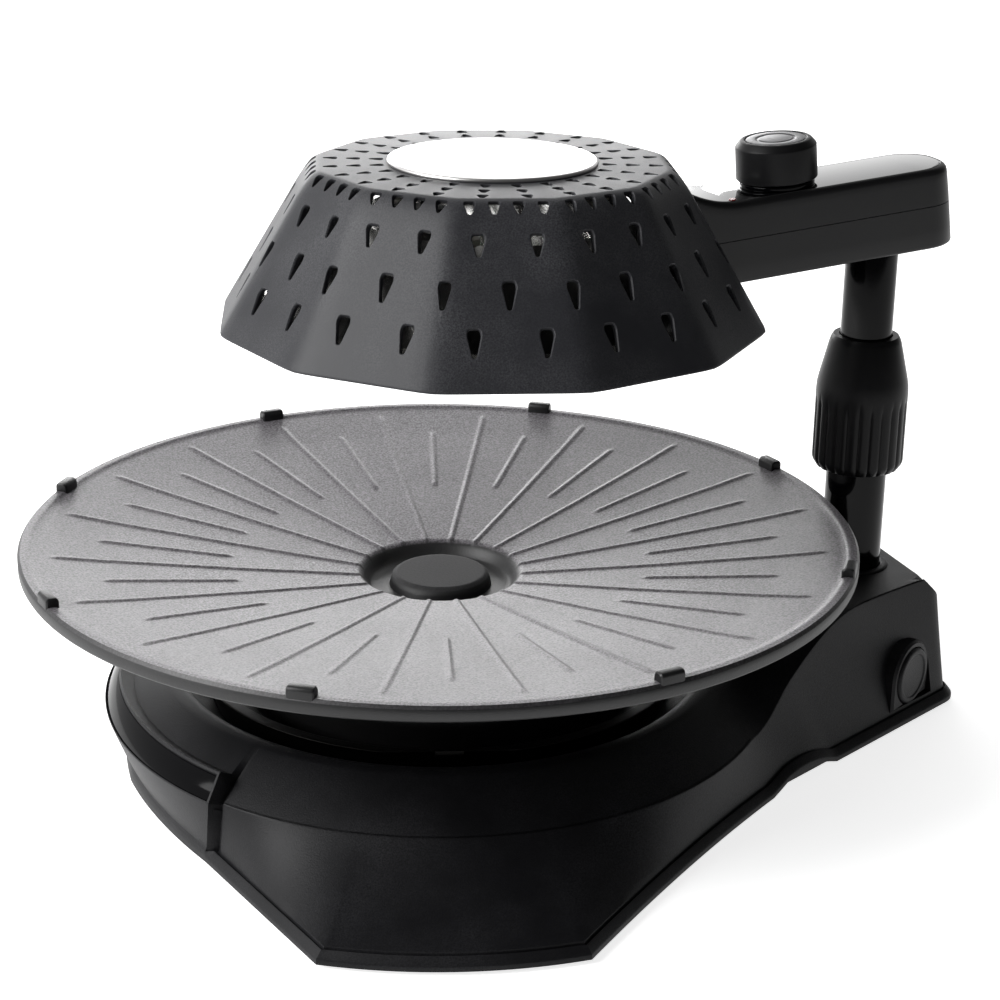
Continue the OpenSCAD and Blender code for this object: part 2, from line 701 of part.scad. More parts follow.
module pivot_plug() {
    inner = upper_r - tube_wall - 0.03;
    color([0.6, 0.6, 0.61])
    at_column(0) difference() {
        rotate_extrude($fn = 72) polygon([[0, upper_top - 16], [inner, upper_top - 16],
            [inner, upper_top + 0.03],
            [upper_r + 1.2, upper_top + 0.03], [upper_r + 1.2, upper_top + 2], [journal_r, upper_top + 2],
            [journal_r, plug_top], [0, plug_top]]);
        translate([0, 0, upper_top - 20]) disc(lead_r, 22);
        translate([0, 0, plug_top - 8]) disc(2.05, 10);
    }
}

module pivot_screw() {
    color([0.55, 0.55, 0.56])
    at_column(plug_top + 0.05) {
        disc(11, 1.2);
        translate([0, 0, 1.2]) disc(4, 2.2);
        translate([0, 0, -6]) disc(2, 7);
    }
}

module column_lead() {
    color([0.12, 0.12, 0.12])
    at_column(upper_foot - 2) disc(lead_r - 0.1, upper_top - upper_foot + 2);
}

module pivot_sleeve() {
    color([0.8, 0.79, 0.74])
    at_column(upper_top + 2.1) tube(13, journal_r + run_gap, plug_top - upper_top - 2.2);
}

// Head: the arm is drawn along +X from its own origin under the pivot, then tilted
arm_tilt = 5.5;
arm_split = 20;
panel_h = 1.4;
knob_at = -48.5;
ring_h = 2.4;
arm_corner = 16;
arm_front = reach - 83;
lens_at = [knob_at - 29.5, -15];
lens_r = 1.6;
arm_screw_x = [-70, -26];
arm_post_r = 4;

module arm_frame() {
    translate([col[0], 0, arm_z]) rotate([0, -arm_tilt, 0]) children();
}

// Outline of the arm inset by d, with the sweep towards the hood at its front end
sweep_len = 32;
sweep_rate = 0.0118;
function sweep(x, up) = up * sweep_rate * pow(max(0, sweep_len - arm_front - x), 2);
function arm_points(d, z, up) = let(h = arm_w / 2 - d, r = arm_corner, c = arm_tail - d - r,
        xs = [for (k = [0:7]) -arm_front + 5 * k])
    concat([for (x = xs) [x, -h, z + sweep(x, up)]], arc_pts(c, -(h - r), r, -90, 0, z),
        arc_pts(c, h - r, r, 0, 90, z), [for (k = [7:-1:0]) [xs[k], h, z + sweep(xs[k], up)]]);
function arc_pts(x, y, r, a0, a1, z) = [for (p = arc([x, y], r, a0, a1, 8)) raise(p, z)];

module arm_block(levels) {
    ring_skin([for (v = levels) arm_points(v[0], v[1], v[2])], true);
}

// The solid of the hood grown by g, on the hood's own axis
hood_x = axis_x + column_x - reach;
fold_cos = cos(180 / hood_sides);
function fold_r(h) = hood_r - hood_slope * h;
shoulder_h = hood_h - 10;
bracket_mid = 38;
arm_wall_x = reach - fold_r(bracket_mid) - 12;
row_b = 53;
row_c = 35;
row_d = 18;
hood_profile = [[fold_r(0) - 0.7, 0], [fold_r(0.7), 0.7], [fold_r(shoulder_h), shoulder_h],
    [fold_r(shoulder_h) - 3.4, shoulder_h + 5], [fold_r(shoulder_h) - 6.6, shoulder_h + 8.6],
    [fold_r(shoulder_h) - 10, hood_h]];
function hood_ring(r, h) = [for (i = [0:hood_sides - 1]) raise(polar(r, i * 360 / hood_sides), h)];
function grown(p, g) = [p[0] + g / fold_cos, p[1] + (p[1] < 1 ? 0 : g * 0.5)];

module hood_solid(g) {
    translate([hood_x, 0, hood_z]) ring_skin([for (p = hood_profile) let(q = grown(p, g))
        hood_ring(q[0], q[1])]);
}

// The hollow of the arm, which leaves a thick wall where the hood is screwed on
module arm_inside(z0, z1, roof) {
    w = 2.4;
    difference() {
        arm_block([[w, z0, 0], [w, z1, roof]]);
        translate([-200, -60, -20]) cube([200 - arm_wall_x, 120, 100]);
    }
}

module arm_lead_hole() {
    translate([hood_x, 0, hood_z + bracket_mid]) rotate([0, 90, 0]) disc(4.2, 160);
}

module knob_bore(r) {
    translate([knob_at, 0, -10]) disc(r, 90);
}

module arm_shell() {
    color([0.04, 0.04, 0.043])
    difference() {
        arm_frame() difference() {
            arm_block([[1, 0, 0], [0, 0.8, 0], [0.6, arm_split, 0]]);
            arm_inside(3, arm_split + 1, 0);
        }
        at_column(arm_z - 20) disc(upper_r + 0.8, 60);
        hood_solid(0.05);
        arm_screw_places() disc(screw_r + 0.05, 60);
        arm_screw_places() translate([0, 0, -1]) disc(screw_head_r + 0.1, 3);
    }
    color([0.04, 0.04, 0.043])
    difference() {
        arm_frame() arm_screw_local() translate([0, 0, 2.9]) disc(arm_post_r, arm_split - 3);
        arm_screw_places() translate([0, 0, -1]) disc(screw_r + 0.05, 60);
    }
}

module arm_screw_local() {
    for (x = arm_screw_x) for (y = [-1, 1]) translate([x, y * (arm_w / 2 - 7), 0]) children();
}

module arm_screw_places() {
    arm_frame() arm_screw_local() children();
}

module arm_cover() {
    top = arm_h;
    color([0.04, 0.04, 0.043])
    difference() {
        arm_frame() difference() {
            arm_block([[0.6, arm_split + 0.05, 0], [1.2, top - 3.4, 1], [1.8, top - 1, 1], [3, top, 1]]);
            arm_inside(arm_split - 1, top - 4.5, 0);
            arm_block([[3.6, top - panel_h, 1], [3.6, top + 1, 1]]);
            knob_bore(4.2);
        }
        hood_solid(0.05);
        arm_lead_hole();
        hood_screw_places() disc(screw_r + 0.05, 60);
    }
    color([0.04, 0.04, 0.043])
    difference() {
        arm_frame() arm_screw_local() translate([0, 0, arm_split + 0.05])
            disc(arm_post_r, arm_h - arm_split - 4);
        arm_screw_places() disc(screw_r + 0.05, arm_split + 8);
    }
    color([0.04, 0.04, 0.043])
    difference() {
        at_column(upper_top + 2.1) disc(16, arm_z + arm_h - 2.8 - upper_top - 2.1);
        at_column(upper_top) disc(13.15, plug_top - upper_top - 0.05);
        at_column(upper_top) disc(12, 18.6);
    }
}

module arm_panel() {
    color([0.01, 0.01, 0.012])
    difference() {
        arm_frame() difference() {
            arm_block([[3.7, arm_h - panel_h + 0.05, 1], [3.7, arm_h - 0.1, 1], [4.2, arm_h + 0.2, 1]]);
            knob_bore(4.2);
            translate([lens_at[0], lens_at[1], 0]) disc(lens_r + 0.05, 90);
        }
        hood_solid(0.05);
    }
}

module indicator_lens() {
    z = arm_h - panel_h + 0.1 + sweep(lens_at[0] - 2, 1);
    color([0.5, 0.05, 0.03])
    arm_frame() translate([lens_at[0], lens_at[1], z]) disc(lens_r, panel_h + 0.3);
}

module arm_screws() {
    color([0.2, 0.2, 0.2])
    arm_screw_places() translate([0, 0, 2]) screw(arm_split + 4, screw_r, screw_head_r, 1.6);
}

module control_body() {
    color([0.4, 0.4, 0.38])
    arm_frame() translate([knob_at, 0, 0]) difference() {
        union() {
            translate([0, 0, 8]) disc(13, arm_h - 4.5 - 8 - 0.05);
            disc(4.1, arm_h);
            translate([-15, -9, 10]) cube([30, 18, 6]);
        }
        translate([0, 0, 6]) disc(3 + run_gap, 60);
        translate([0, 0, -1]) disc(20, 9);
    }
}

module knob_ring() {
    color([0.02, 0.02, 0.02])
    arm_frame() translate([knob_at, 0, arm_h + 0.25]) tube(knob_r - 1.4, 4.6, ring_h);
}

module knob() {
    z = arm_h + 0.25 + ring_h + 0.35;
    color([0.045, 0.045, 0.048])
    arm_frame() translate([knob_at, 0, z]) difference() {
        rotate_extrude($fn = 96) polygon([[0, 0], [knob_r - 0.6, 0], [knob_r, 0.6],
            [knob_r - 0.5, knob_h - 3],
            [knob_r - 2.6, knob_h], [0, knob_h]]);
        translate([0, 0, -1]) disc(3.02, knob_h - 4);
        translate([0, 0, knob_h - 0.8]) disc(13.6, 2);
        translate([4.2, 0, -1]) tube(12.5, 8, 9);
    }
}

module knob_disc() {
    z = arm_h + 0.25 + ring_h + 0.35;
    color([0.3, 0.3, 0.31])
    arm_frame() translate([knob_at, 0, z + knob_h - 0.78]) difference() {
        disc(13.5, 0.7);
        translate([6, -0.6, 0.3]) cube([6, 1.2, 2]);
    }
}

module knob_shaft() {
    z = arm_h + 0.25 + ring_h + 0.35;
    color([0.62, 0.62, 0.62])
    arm_frame() translate([knob_at, 0, 9]) disc(3, z + knob_h - 6 - 9);
}

// Holes in the hood, each drawn in the face that it pierces
module hole_outline(w, h) {
    polygon([[0, -h / 2], [w / 2, h * 0.28], [w * 0.3, h / 2], [-w * 0.3, h / 2], [-w / 2, h * 0.28]]);
}

side_tilt = atan(hood_slope * fold_cos);

// A hole in a side, at an angle round the hood, a height and a distance along the face
module side_hole(face, h, along, on_fold, w, tall) {
    r = fold_r(h) * (on_fold ? 1 : fold_cos);
    rotate([0, 0, face]) translate([r, along, h]) rotate([0, 90 - side_tilt, 0]) rotate([0, 0, -90])
        translate([0, 0, -7]) linear_extrude(14) rotate([0, 0, 180]) hole_outline(w, tall);
}

module hood_holes() {
    step = 360 / hood_sides;
    for (k = [0:hood_sides - 1]) {
        face = (k + 0.5) * step;
        for (s = [-1, 1]) if (!(k == 0 && s < 0) && !(k == hood_sides - 1 && s > 0)) {
            side_hole(face, row_b, s * fold_r(row_b) * sin(step / 2) / 2, false, 5.6, 9);
            side_hole(face, row_d, s * fold_r(row_d) * sin(step / 2) / 2, false, 5.8, 12);
        }
        side_hole(face, row_c, 0, false, 5.8, 12);
        if (k > 0) side_hole(k * step, row_c, 0, true, 5.8, 12);
        for (j = [-1.5:1:1.5]) rotate([0, 0, face])
            translate([fold_r(shoulder_h) * fold_cos - 7, 10 * j, shoulder_h + 7])
            rotate([0, 40, 0]) translate([0, 0, -6]) linear_extrude(14) rotate([0, 0, 90])
                hole_outline(4.6, 5.6);
    }
    for (j = [0:2]) for (k = [0:23]) rotate([0, 0, 15 * k + 7.5])
        translate([disc_r + 5 + 10.1 * j, 0, hood_h - 5])
        linear_extrude(8) rotate([0, 0, 90]) hole_outline(4.6, 5.2);
}

module hood_cavity() {
    translate([hood_x, 0, hood_z]) ring_skin([for (p = inner_profile) hood_ring(p[0], p[1])]);
}

inner_profile = [[fold_r(-2) - hood_sheet / fold_cos, -2],
    [fold_r(shoulder_h) - 1.1 * hood_sheet, shoulder_h],
    [fold_r(shoulder_h) - 4.4 - hood_sheet, hood_h - 3 - hood_sheet * 0.6],
    [fold_r(shoulder_h) - 10 - hood_sheet, hood_h - hood_sheet]];

module hood_shell() {
    color([0.06, 0.06, 0.065])
    difference() {
        hood_solid(0);
        hood_cavity();
        translate([hood_x, 0, hood_z]) hood_holes();
        translate([hood_x, 0, hood_z + hood_h - 10]) disc(3.1, 30);
        hood_screw_places() disc(screw_r + 0.1, 60);
        arm_lead_hole();
    }
}

module top_disc() {
    color([0.72, 0.71, 0.7])
    translate([hood_x, 0, hood_z + hood_h + 0.02]) {
        rotate_extrude($fn = 120) polygon([[0, 0], [disc_r, 0], [disc_r, disc_h - 0.5],
            [disc_r - 0.5, disc_h], [0, disc_h]]);
        translate([0, 0, -11]) disc(3, 12);
    }
}

module disc_nut() {
    color([0.55, 0.55, 0.56])
    translate([hood_x, 0, hood_z + hood_h - hood_sheet - 4.05]) difference() {
        cylinder(r = 6.4, h = 4, $fn = 6);
        translate([0, 0, -1]) disc(3.03, 8);
    }
}

// Reflector bowl, fixed to the hood's wall by its flange
reflector_top = 46;
sheet = 0.8;
function bowl_r(h) = 0.82 * (fold_r(h) - 5);
bowl_outer = [[8, reflector_top], [62, reflector_top], [70, reflector_top - 6], [bowl_r(8) + 3, 9],
    [fold_r(8) - 1.8 * hood_sheet, 8.6], [fold_r(2) - 1.8 * hood_sheet, 2]];
bowl_inner = [[fold_r(2) - 1.8 * hood_sheet - sheet, 2], [fold_r(7) - 1.8 * hood_sheet - sheet, 7.6],
    [bowl_r(8) + 2, 7.8], [69.2, reflector_top - 6.8], [61.4, reflector_top - sheet],
    [8, reflector_top - sheet]];

module reflector() {
    profile = concat(bowl_outer, bowl_inner);
    color([0.78, 0.76, 0.72])
    difference() {
        translate([hood_x, 0, hood_z]) ring_skin([for (k = [len(profile) - 1:-1:0])
            hood_ring(profile[k][0], profile[k][1])]);
        lamp_post_places() disc(3.1, 40);
    }
}

lamp_r = 58;
lamp_tube_r = 5;
lamp_h = 26;
lamp_turn = 12;

module heat_lamp() {
    color([0.85, 0.82, 0.75])
    translate([hood_x, 0, hood_z + lamp_h]) rotate([0, 0, lamp_turn])
        rotate_extrude(angle = 360 - 2 * lamp_turn, $fn = 96) translate([lamp_r, 0])
            circle(r = lamp_tube_r, $fn = 32);
}

module lamp_post_places() {
    for (a = [lamp_turn + 4, 120, 240, -lamp_turn - 4]) translate([hood_x, 0, hood_z]) rotate([0, 0, a])
        translate([lamp_r, 0, lamp_h]) children();
}

module lamp_holders() {
    color([0.9, 0.89, 0.85])
    difference() {
        lamp_post_places() {
            translate([-8, -4, -3]) cube([16, 8, 12]);
            disc(3, reflector_top - lamp_h + 3);
            translate([0, 0, reflector_top - lamp_h + 0.1]) disc(6, 2.4);
        }
        translate([hood_x, 0, hood_z + lamp_h])
            rotate_extrude($fn = 96) translate([lamp_r, 0]) circle(r = lamp_tube_r + 0.05, $fn = 32);
    }
}

// Bracket behind the hood's wall, drawn by the hood's own inner faces
module bracket_zone() {
    translate([hood_x + 40, -16, hood_z + bracket_mid - 12]) cube([100, 32, 24]);
}

module hood_bracket() {
    color([0.6, 0.6, 0.6])
    difference() {
        intersection() {
            bracket_skin(0.25);
            bracket_zone();
        }
        bracket_skin(3.2);
        hood_screw_places() disc(screw_r + 0.1, 60);
        arm_lead_hole();
    }
}

module bracket_skin(g) {
    translate([hood_x, 0, hood_z]) ring_skin([for (p = [inner_profile[0], inner_profile[1]])
        hood_ring(p[0] - g / fold_cos, p[1])]);
}

module hood_screw_places() {
    for (y = [-10.5, 10.5]) translate([hood_x + fold_r(bracket_mid) - 9.9, y, hood_z + bracket_mid])
        rotate([0, 90, 0]) children();
}

module hood_screws() {
    color([0.55, 0.55, 0.56])
    hood_screw_places() screw(20, screw_r, screw_head_r, 2);
}

module lamp_lead() {
    z = hood_z + bracket_mid;
    color([0.75, 0.72, 0.65]) {
        lead([[col[0] + knob_at - 18, 0, arm_z + 7], [col[0] + knob_at - 23, 0, z], [hood_x + 84, 0, z],
            [hood_x + 68, 5, z + 13.2], [hood_x + 54, 17, z + 13.2]], 2);
    }
}

module guard_grille() {
    wire = 1.3;
    r0 = (fold_r(4) - 1.8 * hood_sheet - sheet) * fold_cos - 1.2 * wire - 0.03;
    color([0.7, 0.7, 0.7])
    translate([hood_x, 0, hood_z + 4]) {
        for (k = [0:3]) rotate_extrude($fn = 64) translate([r0 - 26 * k, 0]) circle(r = wire, $fn = 16);
        for (k = [0:5]) rotate([0, 0, 60 * k + 15]) rotate([0, 90, 0])
            cylinder(r = wire * 0.9, h = r0, $fn = 16);
    }
}

module thermal_cutout() {
    color([0.3, 0.3, 0.3])
    translate([hood_x - 30, 0, hood_z + reflector_top + 0.05]) {
        disc(8, 5);
        for (y = [-4, 4]) translate([-1.5, y - 0.4, 4]) cube([3, 0.8, 8]);
    }
}

base_shell();
base_pan();
base_screws();
rubber_feet();
grip_inlay();
column_socket();
socket_screws();
button_bezel();
release_button();
button_spring();
power_inlet();
terminal_block();
base_lead();
drip_tray();
grill_plate();
lower_tube();
collet();
lock_collar();
upper_tube();
guide_bush();
column_lead();
pivot_plug();
pivot_screw();
pivot_sleeve();
arm_shell();
arm_cover();
arm_panel();
arm_screws();
control_body();
knob_ring();
indicator_lens();
knob();
knob_disc();
knob_shaft();
hood_shell();
top_disc();
disc_nut();
reflector();
heat_lamp();
lamp_holders();
lamp_lead();
hood_bracket();
hood_screws();
guard_grille();
thermal_cutout();
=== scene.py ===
# Infrared table grill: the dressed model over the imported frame.
import bpy
import bmesh
import math
from mathutils import Matrix, Vector


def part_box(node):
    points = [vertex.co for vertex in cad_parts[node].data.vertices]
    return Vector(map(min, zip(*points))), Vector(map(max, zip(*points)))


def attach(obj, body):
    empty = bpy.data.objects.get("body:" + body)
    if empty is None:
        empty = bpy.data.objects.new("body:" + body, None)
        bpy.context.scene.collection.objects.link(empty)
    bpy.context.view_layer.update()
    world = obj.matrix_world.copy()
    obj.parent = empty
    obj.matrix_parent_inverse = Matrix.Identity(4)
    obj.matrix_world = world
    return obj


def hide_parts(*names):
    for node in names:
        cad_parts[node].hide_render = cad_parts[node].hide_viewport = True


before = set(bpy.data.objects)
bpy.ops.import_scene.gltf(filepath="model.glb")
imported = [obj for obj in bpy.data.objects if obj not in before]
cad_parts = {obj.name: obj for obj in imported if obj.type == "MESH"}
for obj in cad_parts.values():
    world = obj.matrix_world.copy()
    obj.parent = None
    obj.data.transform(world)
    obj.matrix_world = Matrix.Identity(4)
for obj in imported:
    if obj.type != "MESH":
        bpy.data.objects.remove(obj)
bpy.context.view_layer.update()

mm = 0.001
print("frame loaded:", len(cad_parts), "nodes")

# Places shared by the pieces, in millimetres, read from the frame
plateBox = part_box("grill_plate")
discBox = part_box("top_disc")
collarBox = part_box("lock_collar")
plateX = (plateBox[0].x + plateBox[1].x) / 2 / mm
plateR = (plateBox[1].x - plateBox[0].x) / 2 / mm
poleX = (collarBox[0].x + collarBox[1].x) / 2 / mm
hoodX = (discBox[0].x + discBox[1].x) / 2 / mm
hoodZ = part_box("hood_shell")[0].z / mm
knobX = 126.0  # where the knob's turning marks are centred


def mix(a, b, t):
    return a + (b - a) * t


def lerp(a, b, t):
    return tuple(mix(p, q, t) for p, q in zip(a, b))


def smooth(t):
    u = max(0.0, min(1.0, t))
    return u * u * (3 - 2 * u)


def polar(r, degrees):
    a = math.radians(degrees)
    return (r * math.cos(a), r * math.sin(a))


def bend(a, b, c, t):
    return lerp(lerp(a, b, t), lerp(b, c, t), t)


def unit2(v):
    d = math.hypot(v[0], v[1]) or 1.0
    return (v[0] / d, v[1] / d)


def roundCorners(points, radius, steps=4):
    # every inner corner of an open outline becomes a small arc
    made = [tuple(points[0])]
    for before, here, after in zip(points, points[1:], points[2:]):
        p, q, r = Vector(before), Vector(here), Vector(after)
        cut = min(radius, (p - q).length * 0.45, (r - q).length * 0.45)
        first = tuple(q + (p - q).normalized() * cut)
        last = tuple(q + (r - q).normalized() * cut)
        made += [bend(first, tuple(q), last, k / steps) for k in range(steps + 1)]
    return made + [tuple(points[-1])]


def makeObject(name, points, faces, sharp=35):
    mesh = bpy.data.meshes.new(name)
    mesh.from_pydata([(x * mm, y * mm, z * mm) for x, y, z in points], [], faces)
    mesh.update()
    work = bmesh.new()
    work.from_mesh(mesh)
    bmesh.ops.remove_doubles(work, verts=work.verts, dist=0.00001)
    bmesh.ops.recalc_face_normals(work, faces=work.faces)
    work.to_mesh(mesh)
    work.free()
    obj = bpy.data.objects.new(name, mesh)
    bpy.context.scene.collection.objects.link(obj)
    smoothShade(obj, sharp)
    return obj


def smoothShade(obj, sharp=35):
    mesh = obj.data
    mesh.polygons.foreach_set("use_smooth", [True] * len(mesh.polygons))
    mesh.set_sharp_from_angle(angle=math.radians(sharp))
    mesh.update()


def ringFaces(ringCount, ringSize, closedRings=False, caps=False):
    faces = []
    for j in range(ringCount if closedRings else ringCount - 1):
        k = (j + 1) % ringCount
        for i in range(ringSize):
            n = (i + 1) % ringSize
            faces.append((j * ringSize + i, j * ringSize + n, k * ringSize + n, k * ringSize + i))
    if caps:
        faces.append(tuple(range(ringSize - 1, -1, -1)))
        faces.append(tuple((ringCount - 1) * ringSize + i for i in range(ringSize)))
    return faces


def loft(name, rings, caps=True, closedRings=False, sharp=35, strips=False):
    # strips closes both ends with bands across the ring, so that they follow a bent top
    points = [p for ring in rings for p in ring]
    size, count = len(rings[0]), len(rings)
    faces = ringFaces(count, size, closedRings, caps and not strips)
    if strips:
        top = (count - 1) * size
        for i in range(size // 2 - 1):
            faces.append((i, i + 1, size - 2 - i, size - 1 - i))
            faces.append((top + size - 1 - i, top + size - 2 - i, top + i + 1, top + i))
    return makeObject(name, points, faces, sharp)


def lathe(name, outline, centre, steps=96, closed=True, sharp=35, rise=None):
    # outline is (radius, height); rise may change a radius at an angle, such as flutes
    rings = []
    for k in range(steps):
        a = 2 * math.pi * k / steps
        ring = []
        for r, z in outline:
            q = rise(r, z, a) if rise else r
            ring.append((centre[0] + q * math.cos(a), centre[1] + q * math.sin(a), z))
        rings.append(ring)
    size = len(outline)
    faces = []
    for k in range(steps):
        n = (k + 1) % steps
        for i in range(size if closed else size - 1):
            j = (i + 1) % size
            faces.append((k * size + i, n * size + i, n * size + j, k * size + j))
    return makeObject(name, [p for ring in rings for p in ring], faces, sharp)


def carve(obj, cutter, sharp=35):
    # cuts with the manifold solver and keeps the result as plain mesh
    cut = obj.modifiers.new("carve", "BOOLEAN")
    cut.object = cutter
    cut.operation = "DIFFERENCE"
    cut.solver = "MANIFOLD"
    graph = bpy.context.evaluated_depsgraph_get()
    fresh = bpy.data.meshes.new_from_object(obj.evaluated_get(graph))
    obj.modifiers.clear()
    old = obj.data
    obj.data = fresh
    bpy.data.meshes.remove(old)
    bpy.data.objects.remove(cutter)
    smoothShade(obj, sharp)


# Shader node groups that several finishes share
def startGroup(name, inputs, outputs):
    group = bpy.data.node_groups.new(name, "ShaderNodeTree")
    for label, kind, value in inputs:
        socket = group.interface.new_socket(label, in_out="INPUT", socket_type=kind)
        socket.default_value = value
    for label, kind in outputs:
        group.interface.new_socket(label, in_out="OUTPUT", socket_type=kind)
    return group, group.nodes.new("NodeGroupInput"), group.nodes.new("NodeGroupOutput")


def addNode(tree, kind, settings=None, **values):
    node = tree.nodes.new(kind)
    for key, value in (settings or {}).items():
        setattr(node, key, value)
    for key, value in values.items():
        node.inputs[key.replace("_", " ")].default_value = value
    return node


def mathNode(tree, operation, first, second):
    node = tree.nodes.new("ShaderNodeMath")
    node.operation = operation
    for socket, value in zip(node.inputs, (first, second)):
        if isinstance(value, (int, float)):
            socket.default_value = value
        else:
            tree.links.new(value, socket)
    return node.outputs[0]


def mixColours(tree, factor, first, second):
    node = tree.nodes.new("ShaderNodeMix")
    node.data_type = "RGBA"
    tree.links.new(factor, node.inputs[0])
    for socket, value in ((node.inputs[6], first), (node.inputs[7], second)):
        if isinstance(value, tuple):
            socket.default_value = value
        else:
            tree.links.new(value, socket)
    return node.outputs[2]


def axisDistance(group, centre):
    # how far a surface point lies from an upright axis through the centre
    place = addNode(group, "ShaderNodeTexCoord")
    shift = addNode(group, "ShaderNodeVectorMath", {"operation": "SUBTRACT"})
    group.links.new(place.outputs["Object"], shift.inputs[0])
    group.links.new(centre, shift.inputs[1])
    level = addNode(group, "ShaderNodeVectorMath", {"operation": "MULTIPLY"})
    level.inputs[1].default_value = (1, 1, 0)
    group.links.new(shift.outputs[0], level.inputs[0])
    length = addNode(group, "ShaderNodeVectorMath", {"operation": "LENGTH"})
    group.links.new(level.outputs[0], length.inputs[0])
    return length.outputs["Value"]


grainLook = {"cloudScale": 22.0, "cloudLow": 0.35, "cloudGain": 2.2, "speckLow": 0.36, "speckHigh": 0.66}


def buildGrainGroup():
    # fine moulded or sprayed grain with a slow mottling of colour and gloss
    group, inside, out = startGroup(
        "fineGrain",
        [("Colour", "NodeSocketColor", (0.03, 0.03, 0.03, 1)),
         ("Dust Colour", "NodeSocketColor", (0.1, 0.1, 0.1, 1)),
         ("Dust", "NodeSocketFloat", 0.1), ("Grain Scale", "NodeSocketFloat", 2500.0),
         ("Depth", "NodeSocketFloat", 0.1), ("Roughness", "NodeSocketFloat", 0.5),
         ("Gloss Change", "NodeSocketFloat", 0.1), ("Evenness", "NodeSocketFloat", 0.0)],
        [("Colour", "NodeSocketColor"), ("Roughness", "NodeSocketFloat"), ("Height", "NodeSocketFloat")])
    link = group.links.new
    place = addNode(group, "ShaderNodeTexCoord")
    grain = addNode(group, "ShaderNodeTexNoise", Detail=3.0, Roughness=0.6)
    link(place.outputs["Object"], grain.inputs["Vector"])
    link(inside.outputs["Grain Scale"], grain.inputs["Scale"])
    cloud = addNode(group, "ShaderNodeTexNoise", Scale=grainLook["cloudScale"], Detail=4.0, Roughness=0.55)
    link(place.outputs["Object"], cloud.inputs["Vector"])
    settled = mathNode(group, "SUBTRACT", cloud.outputs["Fac"], grainLook["cloudLow"])
    settled = mathNode(group, "MINIMUM", mathNode(group, "MULTIPLY", settled, grainLook["cloudGain"]), 1.0)
    settled = mathNode(group, "MAXIMUM", settled, inside.outputs["Evenness"])
    dusty = mathNode(group, "MULTIPLY", settled, inside.outputs["Dust"])
    crisp = addNode(group, "ShaderNodeMapRange", From_Min=grainLook["speckLow"],
                    From_Max=grainLook["speckHigh"])
    link(grain.outputs["Fac"], crisp.inputs["Value"])
    speck = mathNode(group, "MULTIPLY", crisp.outputs["Result"], dusty)
    colour = mixColours(group, speck, inside.outputs["Colour"], inside.outputs["Dust Colour"])
    link(colour, out.inputs["Colour"])
    change = mathNode(group, "MULTIPLY", mathNode(group, "SUBTRACT", cloud.outputs["Fac"], 0.5),
                      inside.outputs["Gloss Change"])
    link(mathNode(group, "ADD", inside.outputs["Roughness"], change), out.inputs["Roughness"])
    link(mathNode(group, "MULTIPLY", grain.outputs["Fac"], inside.outputs["Depth"]), out.inputs["Height"])
    return group


def buildBrushGroup():
    # rings of fine scratches round a given centre, for turned and brushed metal
    group, inside, out = startGroup(
        "ringBrush",
        [("Colour", "NodeSocketColor", (0.7, 0.7, 0.7, 1)),
         ("Dark Colour", "NodeSocketColor", (0.5, 0.5, 0.5, 1)),
         ("Centre", "NodeSocketVector", (0, 0, 0)), ("Line Scale", "NodeSocketFloat", 3000.0),
         ("Roughness", "NodeSocketFloat", 0.25)],
        [("Colour", "NodeSocketColor"), ("Roughness", "NodeSocketFloat"), ("Height", "NodeSocketFloat")])
    link = group.links.new
    lines = addNode(group, "ShaderNodeTexNoise", {"noise_dimensions": "1D"}, Detail=5.0, Roughness=0.7)
    link(axisDistance(group, inside.outputs["Centre"]), lines.inputs["W"])
    link(inside.outputs["Line Scale"], lines.inputs["Scale"])
    link(mixColours(group, lines.outputs["Fac"], inside.outputs["Dark Colour"], inside.outputs["Colour"]),
         out.inputs["Colour"])
    change = mathNode(group, "MULTIPLY", lines.outputs["Fac"], 0.12)
    link(mathNode(group, "ADD", change, inside.outputs["Roughness"]), out.inputs["Roughness"])
    link(lines.outputs["Fac"], out.inputs["Height"])
    return group


def buildScratchGroup():
    # sparse straight scratches and finger marks for gloss and steel
    group, inside, out = startGroup(
        "handlingMarks",
        [("Roughness", "NodeSocketFloat", 0.1), ("Marks", "NodeSocketFloat", 0.15)],
        [("Roughness", "NodeSocketFloat"), ("Height", "NodeSocketFloat")])
    link = group.links.new
    place = addNode(group, "ShaderNodeTexCoord")
    stretch = addNode(group, "ShaderNodeMapping")
    stretch.inputs["Scale"].default_value = (40, 900, 500)
    stretch.inputs["Rotation"].default_value = (0.3, 0.5, 0.7)
    link(place.outputs["Object"], stretch.inputs["Vector"])
    fine = addNode(group, "ShaderNodeTexNoise", Scale=1.0, Detail=4.0, Roughness=0.7)
    link(stretch.outputs["Vector"], fine.inputs["Vector"])
    smear = addNode(group, "ShaderNodeTexNoise", Scale=45.0, Detail=3.0)
    link(place.outputs["Object"], smear.inputs["Vector"])
    both = mathNode(group, "MULTIPLY", fine.outputs["Fac"], smear.outputs["Fac"])
    change = mathNode(group, "MULTIPLY", both, inside.outputs["Marks"])
    link(mathNode(group, "ADD", change, inside.outputs["Roughness"]), out.inputs["Roughness"])
    link(fine.outputs["Fac"], out.inputs["Height"])
    return group


